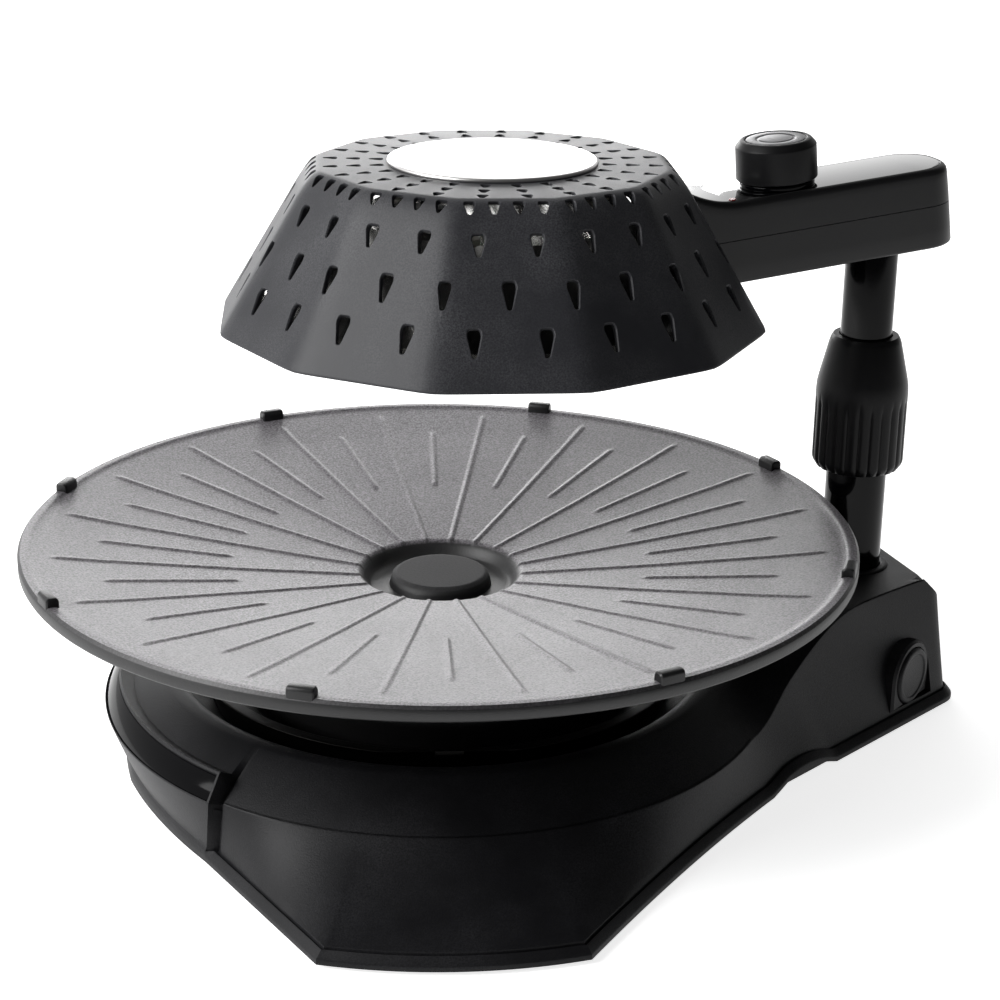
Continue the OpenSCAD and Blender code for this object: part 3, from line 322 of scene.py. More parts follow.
def buildRingGroup():
    # a soft-edged band between two radii about an upright axis
    group, inside, out = startGroup(
        "ringBand",
        [("Centre", "NodeSocketVector", (0, 0, 0)), ("Inner", "NodeSocketFloat", 0.02),
         ("Outer", "NodeSocketFloat", 0.04), ("Blend", "NodeSocketFloat", 0.001)],
        [("Mask", "NodeSocketFloat")])
    r = axisDistance(group, inside.outputs["Centre"])
    blend = inside.outputs["Blend"]
    rise = mathNode(group, "DIVIDE", mathNode(group, "SUBTRACT", r, inside.outputs["Inner"]), blend)
    fall = mathNode(group, "DIVIDE", mathNode(group, "SUBTRACT", inside.outputs["Outer"], r), blend)
    both = mathNode(group, "MINIMUM", mathNode(group, "MINIMUM", rise, fall), 1.0)
    group.links.new(mathNode(group, "MAXIMUM", both, 0.0), out.inputs["Mask"])
    return group


def buildUpGroup():
    # 1 where the surface faces up, 0 on its sides and underside
    group, inside, out = startGroup(
        "facingUp", [("Low", "NodeSocketFloat", 0.5), ("High", "NodeSocketFloat", 0.9)],
        [("Mask", "NodeSocketFloat")])
    link = group.links.new
    surface = addNode(group, "ShaderNodeNewGeometry")
    parts = addNode(group, "ShaderNodeSeparateXYZ")
    link(surface.outputs["Normal"], parts.inputs["Vector"])
    share = addNode(group, "ShaderNodeMapRange", {"interpolation_type": "SMOOTHSTEP"})
    link(parts.outputs["Z"], share.inputs["Value"])
    link(inside.outputs["Low"], share.inputs["From Min"])
    link(inside.outputs["High"], share.inputs["From Max"])
    link(share.outputs["Result"], out.inputs["Mask"])
    return group


ringGroup = buildRingGroup()
upGroup = buildUpGroup()
grainGroup = buildGrainGroup()
brushGroup = buildBrushGroup()
scratchGroup = buildScratchGroup()


def startMaterial(name):
    material = bpy.data.materials.new(name)
    material.use_nodes = True
    tree = material.node_tree
    return material, tree, tree.nodes["Principled BSDF"]


def placeGroup(tree, group, **values):
    node = tree.nodes.new("ShaderNodeGroup")
    node.node_tree = group
    for key, value in values.items():
        node.inputs[key.replace("_", " ")].default_value = value
    return node


def addBump(tree, shader, height, distance):
    bump = addNode(tree, "ShaderNodeBump", Strength=1.0, Distance=distance)
    tree.links.new(height, bump.inputs["Height"])
    tree.links.new(bump.outputs["Normal"], shader.inputs["Normal"])


# painted shade for the grill plate: a dark ring in the well, a darker boss and dark sides
plateShadeLook = {
    "inner": 22.5, "outer": 37.5, "edge": 1.5, "shadeColour": (0.004, 0.004, 0.0045, 1), "upLow": 0.55,
    "upHigh": 0.93, "bossR": 23.0, "bossEdge": 1.0, "bossShadeShare": 0.95, "bossRough": 0.3,
    "bossShadeColour": (0.006, 0.006, 0.0065, 1)}


def paintPlateShade(tree, colour, roughness):
    # painted shade: the plate's well, its boss and all that doesn't face up are darkened to stand for the
    # shade they lie in
    look = plateShadeLook
    middle = (plateX * mm, 0, 0)
    ring = placeGroup(tree, ringGroup, Centre=middle, Inner=look["inner"] * mm, Outer=look["outer"] * mm,
                      Blend=look["edge"] * mm)
    boss = placeGroup(tree, ringGroup, Centre=middle, Inner=-10 * mm, Outer=look["bossR"] * mm,
                      Blend=look["bossEdge"] * mm)
    facing = placeGroup(tree, upGroup, Low=look["upLow"], High=look["upHigh"])
    side = mathNode(tree, "SUBTRACT", 1.0, facing.outputs["Mask"])
    paintedShade = mathNode(tree, "MAXIMUM", ring.outputs["Mask"], side)
    shade = mathNode(tree, "MULTIPLY", boss.outputs["Mask"], look["bossShadeShare"])
    colour = mixColours(tree, shade, colour, look["bossShadeColour"])
    rougher = mathNode(tree, "MULTIPLY", boss.outputs["Mask"], look["bossRough"])
    return mixColours(tree, paintedShade, colour, look["shadeColour"]), mathNode(tree, "ADD", roughness, rougher)


def grainMaterial(name, look):
    material, tree, shader = startMaterial(name)
    grain = placeGroup(tree, grainGroup, Colour=(*look["colour"], 1), Dust_Colour=(*look["dust"], 1),
                       Dust=look["dustShare"], Grain_Scale=look["scale"], Depth=1.0,
                       Roughness=look["roughness"], Gloss_Change=look.get("change", 0.1),
                       Evenness=look.get("even", 0.0))
    colour = grain.outputs["Colour"]
    roughness = grain.outputs["Roughness"]
    if look.get("well"):
        colour, roughness = paintPlateShade(tree, colour, roughness)
    tree.links.new(colour, shader.inputs["Base Color"])
    tree.links.new(roughness, shader.inputs["Roughness"])
    addBump(tree, shader, grain.outputs["Height"], look["bump"] * mm)
    shader.inputs["Specular IOR Level"].default_value = look.get("specular", 0.5)
    return material


def glossMaterial(name, look):
    material, tree, shader = startMaterial(name)
    marks = placeGroup(tree, scratchGroup, Roughness=look["roughness"], Marks=look["marks"])
    tree.links.new(marks.outputs["Roughness"], shader.inputs["Roughness"])
    addBump(tree, shader, marks.outputs["Height"], look.get("bump", 0.002) * mm)
    shader.inputs["Base Color"].default_value = (*look["colour"], 1)
    shader.inputs["Metallic"].default_value = look.get("metal", 0.0)
    shader.inputs["Coat Weight"].default_value = look.get("coat", 0.0)
    shader.inputs["IOR"].default_value = look.get("index", 1.5)
    shader.inputs["Transmission Weight"].default_value = look.get("clear", 0.0)
    return material


def brushMaterial(name, look):
    material, tree, shader = startMaterial(name)
    brush = placeGroup(tree, brushGroup, Colour=(*look["colour"], 1), Dark_Colour=(*look["dark"], 1),
                       Centre=look["centre"], Line_Scale=look["scale"], Roughness=look["roughness"])
    tree.links.new(brush.outputs["Colour"], shader.inputs["Base Color"])
    tree.links.new(brush.outputs["Roughness"], shader.inputs["Roughness"])
    addBump(tree, shader, brush.outputs["Height"], look["bump"] * mm)
    shader.inputs["Metallic"].default_value = 1.0
    return material


finishes = {
    "base": grainMaterial("mouldedBase", {
        "colour": (0.005, 0.005, 0.006), "dust": (0.05, 0.05, 0.055), "dustShare": 0.5, "scale": 1500.0,
        "roughness": 0.48, "bump": 0.11, "specular": 0.2}),
    "trim": glossMaterial("glossTrim", {
        "colour": (0.0015, 0.0015, 0.002), "roughness": 0.05, "marks": 0.1, "index": 1.16}),
    "panel": glossMaterial("glossPanel", {
        "colour": (0.003, 0.003, 0.0035), "roughness": 0.04, "marks": 0.08, "coat": 1.0, "index": 2.3}),
    "arm": grainMaterial("mouldedArm", {
        "colour": (0.004, 0.004, 0.0045), "dust": (0.02, 0.02, 0.022), "dustShare": 0.2, "scale": 3200.0,
        "roughness": 0.4, "bump": 0.02, "specular": 0.3}),
    "knob": grainMaterial("mouldedKnob", {
        "colour": (0.005, 0.005, 0.0055), "dust": (0.03, 0.03, 0.032), "dustShare": 0.2, "scale": 3600.0,
        "roughness": 0.42, "bump": 0.03, "specular": 0.15}),
    "collar": grainMaterial("mouldedCollar", {
        "colour": (0.004, 0.004, 0.0045), "dust": (0.02, 0.02, 0.022), "dustShare": 0.2, "scale": 3000.0,
        "roughness": 0.36, "bump": 0.012, "specular": 0.14}),
    "tube": glossMaterial("glossTube", {
        "colour": (0.002, 0.002, 0.0025), "roughness": 0.08, "marks": 0.1, "index": 1.22}),
    "hood": grainMaterial("sprayedHood", {
        "colour": (0.021, 0.0215, 0.025), "dust": (0.17, 0.17, 0.18), "dustShare": 0.42, "scale": 1500.0,
        "roughness": 0.45, "bump": 0.06, "specular": 0.28}),
    # the plate also gets painted shade in its well, on its boss and on every side that doesn't face up
    "plate": grainMaterial("coatedPlate", {
        "colour": (0.035, 0.034, 0.037), "dust": (0.285, 0.268, 0.29), "dustShare": 1.0, "scale": 1000.0,
        "roughness": 0.45, "change": 0.08, "bump": 0.1, "even": 0.8, "well": True}),
    # painted shade: the lugs are cast with the plate but get a much darker copy of its coating, for the shade
    # on their faces
    "lug": grainMaterial("shadedLugCoating", {
        "colour": (0.004, 0.004, 0.0045), "dust": (0.03, 0.03, 0.031), "dustShare": 0.4, "scale": 1400.0,
        "roughness": 0.4, "change": 0.08, "bump": 0.08, "specular": 0.4}),
    "tray": glossMaterial("traySteel", {
        "colour": (0.014, 0.0135, 0.013), "roughness": 0.4, "marks": 0.25, "metal": 1.0, "bump": 0.006}),
    "disc": brushMaterial("brushedDisc", {
        "colour": (0.86, 0.85, 0.84), "dark": (0.62, 0.61, 0.6), "centre": (hoodX * mm, 0, 0),
        "scale": 2600.0, "roughness": 0.24, "bump": 0.004}),
    "knobDisc": brushMaterial("turnedKnobDisc", {
        "colour": (0.09, 0.09, 0.095), "dark": (0.05, 0.05, 0.053), "centre": (knobX * mm, 0, 0),
        "scale": 5200.0, "roughness": 0.3, "bump": 0.004}),
    "screw": glossMaterial("platedSteel", {
        "colour": (0.5, 0.5, 0.51), "roughness": 0.25, "marks": 0.3, "metal": 1.0}),
    "wire": glossMaterial("chromedWire", {
        "colour": (0.7, 0.7, 0.71), "roughness": 0.12, "marks": 0.2, "metal": 1.0}),
    "reflector": glossMaterial("polishedSheet", {
        "colour": (0.86, 0.85, 0.82), "roughness": 0.14, "marks": 0.25, "metal": 1.0}),
    "lamp": glossMaterial("frostedQuartz", {
        "colour": (0.85, 0.83, 0.78), "roughness": 0.3, "marks": 0.2, "clear": 0.6}),
    "ceramic": grainMaterial("bareCeramic", {
        "colour": (0.8, 0.78, 0.72), "dust": (0.55, 0.5, 0.42), "dustShare": 0.5, "scale": 2200.0,
        "roughness": 0.7, "bump": 0.05}),
    "rubber": grainMaterial("softRubber", {
        "colour": (0.015, 0.015, 0.015), "dust": (0.12, 0.12, 0.11), "dustShare": 0.6, "scale": 1800.0,
        "roughness": 0.75, "bump": 0.05}),
    "bearing": grainMaterial("bearingPlastic", {
        "colour": (0.62, 0.6, 0.52), "dust": (0.4, 0.38, 0.32), "dustShare": 0.3, "scale": 2200.0,
        "roughness": 0.5, "bump": 0.03}),
    "electric": grainMaterial("switchPlastic", {
        "colour": (0.05, 0.05, 0.052), "dust": (0.2, 0.2, 0.2), "dustShare": 0.3, "scale": 2400.0,
        "roughness": 0.5, "bump": 0.03}),
    "terminal": grainMaterial("terminalPlastic", {
        "colour": (0.75, 0.74, 0.7), "dust": (0.5, 0.48, 0.42), "dustShare": 0.3, "scale": 2400.0,
        "roughness": 0.5, "bump": 0.03}),
    "sleeve": grainMaterial("wovenSleeve", {
        "colour": (0.6, 0.56, 0.48), "dust": (0.35, 0.3, 0.24), "dustShare": 0.6, "scale": 900.0,
        "roughness": 0.85, "bump": 0.15}),
    "lens": glossMaterial("redLens", {
        "colour": (0.45, 0.02, 0.012), "roughness": 0.15, "marks": 0.1, "clear": 0.3}),
}
nodeFinish = {
    "base": ["base_shell", "base_pan", "column_socket", "button_bezel", "release_button"],
    "trim": ["grip_inlay", "knob_ring"],
    "panel": ["arm_panel"],
    "arm": ["arm_shell", "arm_cover"],
    "knob": ["knob"],
    "collar": ["lock_collar"],
    "tube": ["lower_tube", "upper_tube"],
    "hood": ["hood_shell"],
    "plate": ["grill_plate"],
    "tray": ["drip_tray"],
    "disc": ["top_disc"],
    "knobDisc": ["knob_disc"],
    "screw": ["base_screws", "socket_screws", "arm_screws", "hood_screws", "pivot_screw", "disc_nut",
              "knob_shaft", "hood_bracket", "button_spring", "pivot_plug"],
    "wire": ["guard_grille"],
    "reflector": ["reflector"],
    "lamp": ["heat_lamp"],
    "ceramic": ["lamp_holders"],
    "rubber": ["rubber_feet", "base_lead", "column_lead"],
    "bearing": ["collet", "guide_bush", "pivot_sleeve"],
    "electric": ["power_inlet", "control_body", "thermal_cutout"],
    "terminal": ["terminal_block"],
    "sleeve": ["lamp_lead"],
    "lens": ["indicator_lens"],
}
for finish, names in nodeFinish.items():
    for name in names:
        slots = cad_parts[name].data.materials
        slots.clear()
        slots.append(finishes[finish])
print("finishes made:", len(finishes))


def settle(obj, finish, body, *nodes):
    # gives a new piece its finish, the body that carries it and the nodes it stands for
    obj.data.materials.clear()
    obj.data.materials.append(finishes[finish])
    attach(obj, body)
    if nodes:
        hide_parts(*nodes)


# Base moulding, with the same outline as the frame's shell but finer and rounder
baseLook = {
    "footZ": 2.0, "flangeH": 5.5, "flangeW": 4.4, "grooveDepth": 1.2, "shoulderR": 152.0, "shoulderZ": 31.0,
    "deckZ": 48.0, "recessR": 121.0, "recessZ": 32.0, "floorR": 30.0, "wall": 3.0, "sideR": 205.0,
    "pedestalZ": 66.0, "bevelX": 24.0, "wingX": 11.0, "wingR": 166.0, "wingZ": 32.0, "wingWide": 7.5,
    "lipZ": 44.0, "pocketDepth": 1.4, "pocketEnd": 0.985, "channelEnd": 0.03, "channelDepth": 1.3,
    "archRise": 5.0, "archX": 147.0, "archHalf": 21.0, "creaseRound": 3.2}
columnX = poleX - plateX
socketR = 18.5
socketTop = 92.0
inletLook = {"half": 13.6, "deep": 26.0, "low": 8.9, "high": 29.1}


def baseStations():
    look = baseLook
    shoulderR, shoulderZ, side = look["shoulderR"], look["shoulderZ"], look["sideR"]
    wingEnd, waist = (-131, -82), (135, -98)
    rearCorner, topRear = (columnX + 45, -36), (columnX + 35, -29)
    topMid, cut = (columnX - 13, -41), 9
    back = unit2((waist[0] - rearCorner[0], waist[1] - rearCorner[1]))
    rearA = (rearCorner[0] + cut * back[0], rearCorner[1] + cut * back[1])
    rearB = (rearCorner[0], rearCorner[1] + cut)
    backTop = unit2((topMid[0] - topRear[0], topMid[1] - topRear[1]))
    topA = (topRear[0] + cut * backTop[0], topRear[1] + cut * backTop[1])
    topB = (topRear[0], topRear[1] + cut)
    flareEnd = polar(side, -91)
    made = []
    end = look["pocketEnd"]
    # the third value is 2 across the grip pocket, 1 on the rest of the wing, -1 in the channel beside it
    for t in [end * i / 20 for i in range(21)] + [end + 0.003, 0.992, 0.997, 1]:
        x, y = polar(look["wingR"], mix(180, 212, t))
        made.append((bend((-147, 0), (-145, -40), wingEnd, t), (look["wingX"] + x, y, look["wingZ"]),
                     1 if t > end else 2))
    for t in [0, 0.012, 0.026, 0.038] + [i / 8 for i in range(1, 9)]:
        foot = lerp((wingEnd[0] + 0.8, wingEnd[1] - 3), polar(side, -121.5), t)
        top = (*polar(shoulderR, mix(-145.2, -122, t)), shoulderZ)
        made.append((foot, top, -1 if t < look["channelEnd"] else 0))
    count = 24
    for i in range(1, count + 1):
        t = i / count
        made.append((polar(side, mix(-121.5, -91, t)), (*polar(shoulderR, mix(-122, -91, t)), shoulderZ), 0))
    for i in range(1, count + 1):
        t = i / count
        middle = lerp(flareEnd, waist, 0.55)
        made.append((bend(flareEnd, (middle[0] - 3, middle[1] + 5), waist, t),
                     (*polar(shoulderR, mix(-91, -42, t)), shoulderZ), 0))
    count = 48
    for i in range(1, count + 1):
        t = i / count
        x, y = bend(polar(shoulderR, -42), (168, -55), topA, t)
        z = mix(shoulderZ, look["pedestalZ"], smooth(0.28 + 1.35 * (t - 0.12)) * smooth(t * 4))
        made.append((lerp(waist, rearA, t), (x, y, z), 0))
    count = 6
    for i in range(1, count + 1):
        t = i / count
        top = (*bend(topA, topRear, topB, t), look["pedestalZ"])
        made.append((bend(rearA, rearCorner, rearB, t), top, 0))
    mirrored = [((g[0], -g[1]), (s[0], -s[1], s[2]), p) for g, s, p in made[:0:-1]]
    return made + mirrored


def baseSection(stations, i):
    look = baseLook
    ground, shoulder, kind = stations[i]
    before, after = stations[i - 1][0], stations[(i + 1) % len(stations)][0]
    along = unit2((after[0] - before[0], after[1] - before[1]))
    inward = (-along[1], along[0])
    if math.hypot(after[0] - before[0], after[1] - before[1]) < 0.001:
        inward = unit2((-ground[0], -ground[1]))
    u = (ground[0] - look["archX"]) / look["archHalf"]
    arch = look["archRise"] * (1 - u * u) if abs(u) < 1 else 0
    foot, flangeZ = look["footZ"], look["footZ"] + look["flangeH"]

    def inset(d, z):
        return (ground[0] + d * inward[0], ground[1] + d * inward[1], z)

    wing = kind > 0
    dent = look["channelDepth"] if kind < 0 else 0
    footPoint = inset((1.2 if wing else look["flangeW"]) + dent, flangeZ + 0.8 + arch)
    shoulder = (shoulder[0] + dent * inward[0], shoulder[1] + dent * inward[1], shoulder[2] - dent)
    reachOut = math.hypot(shoulder[0] - footPoint[0], shoulder[1] - footPoint[1])

    def skirt(t):
        s = t + 0.5 * reachOut / 55 * t * (1 - t)
        x, y = lerp(footPoint[:2], shoulder[:2], s)
        return (x, y, mix(footPoint[2], shoulder[2], t))

    out = unit2((shoulder[0], shoulder[1]))

    def ringPoint(r, z):
        return (r * out[0], r * out[1], z)

    lip = ringPoint(look["recessR"] + 7, look["deckZ"])
    up = smooth((shoulder[2] - look["shoulderZ"]) / (look["pedestalZ"] - look["shoulderZ"]))
    ramp = (mix(shoulder[0], lip[0], 0.5), mix(shoulder[1], lip[1], 0.5),
            mix(mix(shoulder[2], lip[2], 0.5), shoulder[2], up))
    if wing:
        way = unit2((shoulder[0] - look["wingX"], shoulder[1]))
        innerR = look["wingR"] - look["wingWide"]
        inner = (look["wingX"] + innerR * way[0], innerR * way[1], look["lipZ"])
    else:
        inner = lerp(shoulder, ramp, mix(0.4, 0.18, up))
    cut = look["pocketDepth"] if kind == 2 else 0

    def bevel(p, drop=0):
        over = max(0, p[0] - columnX - look["bevelX"])
        return (p[0], p[1], min(p[2], look["pedestalZ"] - drop - over))

    def sink(p, d):
        return (p[0] - 0.4 * d * out[0], p[1] - 0.4 * d * out[1], p[2] - 0.9 * d)

    crease = [skirt(0.8), skirt(0.9), shoulder, lerp(shoulder, inner, 0.04 if wing else 0.2)]
    crease = roundCorners(crease, 1.2 if wing else look["creaseRound"], 5)
    top = flangeZ - look["grooveDepth"]
    if wing:
        flange = [(0, foot + 2.2), (0.05, foot + 2.8), (0.15, foot + 3.4), (0.3, flangeZ - 1.6),
                  (0.4, flangeZ - 1.2), (0.5, flangeZ - 0.8), (0.7, flangeZ - 0.4), (0.9, flangeZ)]
    else:
        flange = [(0, foot + 1.9), (0.15, foot + 2.3), (0.5, foot + 2.8), (2.5, flangeZ - 0.3),
                  (2.9, flangeZ), (3.2, flangeZ - 0.3), (3.35, top), (3.8 + dent, top)]
    outer = [inset(0, foot + arch)] + [inset(d, z + arch) for d, z in flange] + [footPoint]
    outer += [bevel(skirt(t)) for t in (0.1, 0.2, 0.32, 0.45, 0.58, 0.7)] + [bevel(p) for p in crease]
    # the band from the crease to the lip, sunk where the gloss inlay lies
    outer += [bevel(sink(lerp(shoulder, inner, t), cut)) for t in (0.05, 0.88)]
    outer += [bevel(lerp(shoulder, inner, t)) for t in (0.9, 0.97)] + [bevel(lerp(inner, ramp, 0.06))]
    outer += [lerp(inner, ramp, 0.35), lerp(inner, ramp, 0.7), ramp]
    recessR, recessZ, deckZ, wall = look["recessR"], look["recessZ"], look["deckZ"], look["wall"]
    outer += roundCorners([lerp(ramp, lip, 0.5), lip, ringPoint(recessR + 3, deckZ + 0.8),
                           ringPoint(recessR, deckZ), ringPoint(recessR - 1, recessZ),
                           ringPoint(look["floorR"], recessZ)], 1.2, 2)
    middle = skirt(0.5)
    shell = [ringPoint(look["floorR"], recessZ - wall), ringPoint(recessR - 1 + wall, recessZ - wall),
             ringPoint(recessR + wall, deckZ - wall - 1), (ramp[0], ramp[1], ramp[2] - 1.3 * wall),
             bevel((shoulder[0] + 0.9 * wall * inward[0], shoulder[1] + 0.9 * wall * inward[1],
                    shoulder[2] - 1.25 * wall), 1.8 * wall),
             (middle[0] + wall * inward[0], middle[1] + wall * inward[1], middle[2] - 0.5 * wall),
             inset(look["flangeW"] + wall, flangeZ - 0.5 + arch), inset(wall, foot + 2.7 + arch),
             inset(wall, foot + arch)]
    return [(x + plateX, y, z) for x, y, z in shell + outer]


def bossOutline(r, down, steps=24):
    arc = [polar(r, mix(0, 180, k / steps)) for k in range(steps + 1)]
    return roundCorners([(r, -down)] + arc + [(-r, -down)], 0.5, 1)


buttonLook = {"x": poleX + 11, "y": -45.0, "z": 23.0, "turn": -57.0, "r": 14.0, "bossR": 17.5, "down": 14.0,
              "face": 2.2, "recess": 3.5}


def onButton(across, up, out):
    # a point given across the button's face, up it, and out of it
    look = buttonLook
    c, s = polar(1, look["turn"])
    return (look["x"] + out * c - across * s, look["y"] + out * s + across * c, look["z"] + up)


def buildBase():
    stations = baseStations()
    sections = [baseSection(stations, i) for i in range(len(stations))]
    rings = [[section[k] for section in sections] for k in range(len(sections[0]))]
    shell = loft("baseMoulding", rings, caps=True, sharp=28)
    outline = bossOutline(buttonLook["bossR"] + 0.15, buttonLook["down"])
    carve(shell, loft("bossCutter", [[onButton(a, u, d) for a, u in outline] for d in (-9, 30)]))
    bore = [(poleX + x, y) for x, y in (polar(socketR + 0.1, 5 * k) for k in range(72))]
    levels = (baseLook["recessZ"], socketTop)
    carve(shell, loft("columnCutter", [[(x, y, z) for x, y in bore] for z in levels]), sharp=28)
    rear, deep, half = columnX + 45 + plateX, inletLook["deep"], inletLook["half"]
    inlet = [(rear - deep, -half), (rear + 9, -half), (rear + 9, half), (rear - deep, half)]
    levels = (inletLook["low"], inletLook["high"])
    carve(shell, loft("inletCutter", [[(x, y, z) for x, y in inlet] for z in levels]), sharp=28)
    settle(shell, "base", "base", "base_shell")


def buildGripInlay():
    # the gloss strip that fills the pocket in the front wing
    look = baseLook
    rings = []
    count = 24
    innerR = look["wingR"] - look["wingWide"]
    for k in range(-count, count + 1):
        turn = mix(180, 212, look["pocketEnd"] * 0.998 * abs(k) / count)
        side = -1 if k < 0 else 1
        c, s = polar(1, turn)
        shoulder = (look["wingX"] + look["wingR"] * c, look["wingR"] * s, look["wingZ"])
        inner = (look["wingX"] + innerR * c, innerR * s, look["lipZ"])
        out = unit2(shoulder)
        ring = []
        for share, depth in ((0.08, 1.3), (0.86, 1.3), (0.86, 0.75), (0.84, 0.6), (0.1, 0.6), (0.08, 0.75)):
            x, y, z = lerp(shoulder, inner, share)
            x, y = x - 0.4 * depth * out[0], y - 0.4 * depth * out[1]
            ring.append((plateX + x, side * y, z - 0.9 * depth))
        rings.append(ring)
    settle(loft("gripInlay", rings), "trim", "base", "grip_inlay")


buildBase()
buildGripInlay()
print("base moulding made")


def buildButton():
    look = buttonLook
    outline = bossOutline(look["bossR"], look["down"], 28)
    small = bossOutline(look["bossR"] - 1.2, look["down"] - 1.2, 28)
    rings = [[onButton(a, u, d) for a, u in shape]
             for shape, d in ((outline, -5), (outline, look["face"] - 1.2), (small, look["face"]))]
    boss = loft("buttonBoss", rings)
    hole = [[onButton(*polar(look["r"] + 0.5, 7.5 * k), d) for k in range(48)] for d in (-look["recess"], 20)]
    carve(boss, loft("bossHole", hole))
    settle(boss, "base", "base", "button_bezel")
    r = look["r"]
    shape = roundCorners([(0.01, 3.0), (r - 3.4, 3.0), (r - 2.8, 3.6), (r - 1.0, 3.6), (r, 2.6), (r, 0.0),
                          (3.0, 0.0), (3.0, -22.0), (0.01, -22.0)], 0.7, 3)
    rings = [[onButton(r * math.cos(2 * math.pi * k / 64), r * math.sin(2 * math.pi * k / 64), d)
              for k in range(64)] for r, d in shape]
    cap = loft("buttonCap", rings)
    settle(cap, "base", "button", "release_button")


buildButton()
print("release button made")


# Grill plate: a dished casting with raised ribs, a well round a boss, and lugs on its rim
plateLook = {
    "top": plateBox[1].z / mm - 4.0, "rim": 7.0, "wall": 4.5, "dish": 20.0, "wellR": 37.0, "wellDepth": 7.0,
    "bossR": 22.0, "ribs": 20, "ribH": 0.7, "ribHalf": 2.0, "ribEnd": 0.912 * plateR, "turn": 10.6,
    "shortStart": 0.51 * plateR, "shortEnd": 0.808 * plateR, "lugs": 8, "hubR": 0.45 * plateR, "hubWall": 4.0,
    "hubFoot": plateBox[0].z / mm}


def dishHeight(r):
    look = plateLook
    top, bossR, wellR = look["top"], look["bossR"], look["wellR"]
    dishZ = top - look["dish"]
    floor = dishZ - look["wellDepth"]
    knots = [(0.0, floor + 6), (bossR - 1.5, floor + 6), (bossR + 0.3, floor + 4.6), (bossR + 1.6, floor),
             (wellR - 5, floor), (wellR - 1.4, dishZ - 1.8), (wellR + 0.8, dishZ - 0.1),
             (look["shortStart"], top - 13), (look["shortEnd"], top - 5.5), (look["ribEnd"], top - 2.5),
             (plateR - 6.2, top - 0.9), (plateR - 4.6, top - 0.1), (plateR - 1.2, top), (plateR, top - 1.4)]
    for (r0, z0), (r1, z1) in zip(knots, knots[1:]):
        if r <= r1:
            return mix(z0, z1, (r - r0) / (r1 - r0))
    return knots[-1][1]


def ribHeight(r, degrees):
    look = plateLook
    pitch = 180 / look["ribs"]
    nearest = round(degrees / pitch)
    across = r * math.sin(math.radians(degrees - nearest * pitch))
    start, end = look["shortStart"], look["shortEnd"]
    if nearest % 2 == 0:
        start, end = look["wellR"] + 1, look["ribEnd"]
    along = max(start - r, r - end, 0)
    distance = math.hypot(across, along) / look["ribHalf"]
    return look["ribH"] * (1 - smooth(distance)) if distance < 1 else 0.0


def plateRadii():
    # closer together at the boss, the well's edge and the rim
    radii = [0.01] + [k * 1.5 for k in range(1, 14)]
    radii += [20.5, 21.2, 21.9, 22.3, 23.0, 23.6, 24.4, 26.0, 29.0, 31.5, 32.6, 33.8, 35.0, 35.8, 36.6, 37.4,
              38.2, 39.4]
    radii += [41 + 1.8 * k for k in range(80)]
    rim = [plateR - d for d in (6.2, 5.4, 4.6, 3.4, 2.2, 1.2, 0.5, 0.15, 0)]
    return [r for r in radii if r < plateR - 7] + rim


def buildPlate():
    look = plateLook
    radii = plateRadii()
    steps = 1080
    points, faces = [], []
    top, rim = look["top"], look["top"] - look["rim"]
    under = top - look["dish"] - look["wall"]
    wellUnder = top - look["dish"] - look["wellDepth"] - look["wall"]
    hubIn, hubOut = look["hubR"], look["hubR"] + look["hubWall"]
    foot, wellR = look["hubFoot"], look["wellR"]
    bottom = [(plateR, rim + 1.2), (plateR - 0.5, rim + 0.3), (plateR - 1.4, rim), (plateR - 3, top - 6.6),
              (look["shortEnd"], top - 10), (hubOut, top - 18), (hubOut, foot), (hubIn, foot),
              (hubIn, top - 18.5), (wellR + 3, under), (wellR - 2, wellUnder), (0.01, wellUnder)]
    size = len(radii) + len(bottom)
    for k in range(steps):
        degrees = 360 * k / steps
        a = math.radians(degrees + look["turn"])
        column = [(r, dishHeight(r) + ribHeight(r, degrees)) for r in radii] + bottom
        points += [(plateX + r * math.cos(a), r * math.sin(a), z) for r, z in column]
    for k in range(steps):
        n = (k + 1) % steps
        faces += [(k * size + i, n * size + i, n * size + i + 1, k * size + i + 1) for i in range(size - 1)]
    plate = makeObject("dishedPlate", points, faces, sharp=50)
    settle(plate, "plate", "plate", "grill_plate")


def buildLug(k):
    look = plateLook
    top = look["top"]
    outline = roundCorners([(plateR - 6.6, top - 2), (plateR - 6.4, top + 2.6), (plateR - 5.2, top + 3.9),
                            (plateR - 1.4, top + 3.9), (plateR - 0.45, top + 2.8), (plateR - 0.4, top - 2)],
                           0.7, 2)
    c, s = polar(1, k * 360 / look["lugs"] + look["turn"])
    rings = []
    # the two sections at either end draw in and drop, which rounds the lug's ends
    for along, shrink, drop in ((-5.75, 0.25, 0.7), (-5.2, 0.05, 0.12), (-4.4, 0, 0), (4.4, 0, 0),
                                (5.2, 0.05, 0.12), (5.75, 0.25, 0.7)):
        section = [(mix(r, plateR - 3.5, shrink), z - drop) for r, z in outline]
        rings.append([(plateX + r * c - along * s, r * s + along * c, z) for r, z in section])
    lug = loft("rimLug%d" % (k + 1), rings)
    # the lug finish is a darker copy of the plate's coating, painted shade
    settle(lug, "lug", "plate")


buildPlate()
for lugIndex in range(plateLook["lugs"]):
    buildLug(lugIndex)
print("grill plate made")


# Hood: a twelve-sided pressing with rounded folds and pierced sides
hoodLook = {"r": 123.5, "h": 69.0, "slope": 0.605, "sides": 12, "sheet": 1.6, "foldRound": 0.28,
            "foldDraw": 0.0062, "shoulder": 59.0, "bandLean": 50, "hole": (5.6, 11.8), "highHole": (5.4, 9.4),
            "bandHole": (4.6, 6.2, 0.5), "topHole": (4.9, 6.0, 0.35)}
discR = (discBox[1].x - discBox[0].x) / 2 / mm


def foldR(h):
    return hoodLook["r"] - hoodLook["slope"] * h


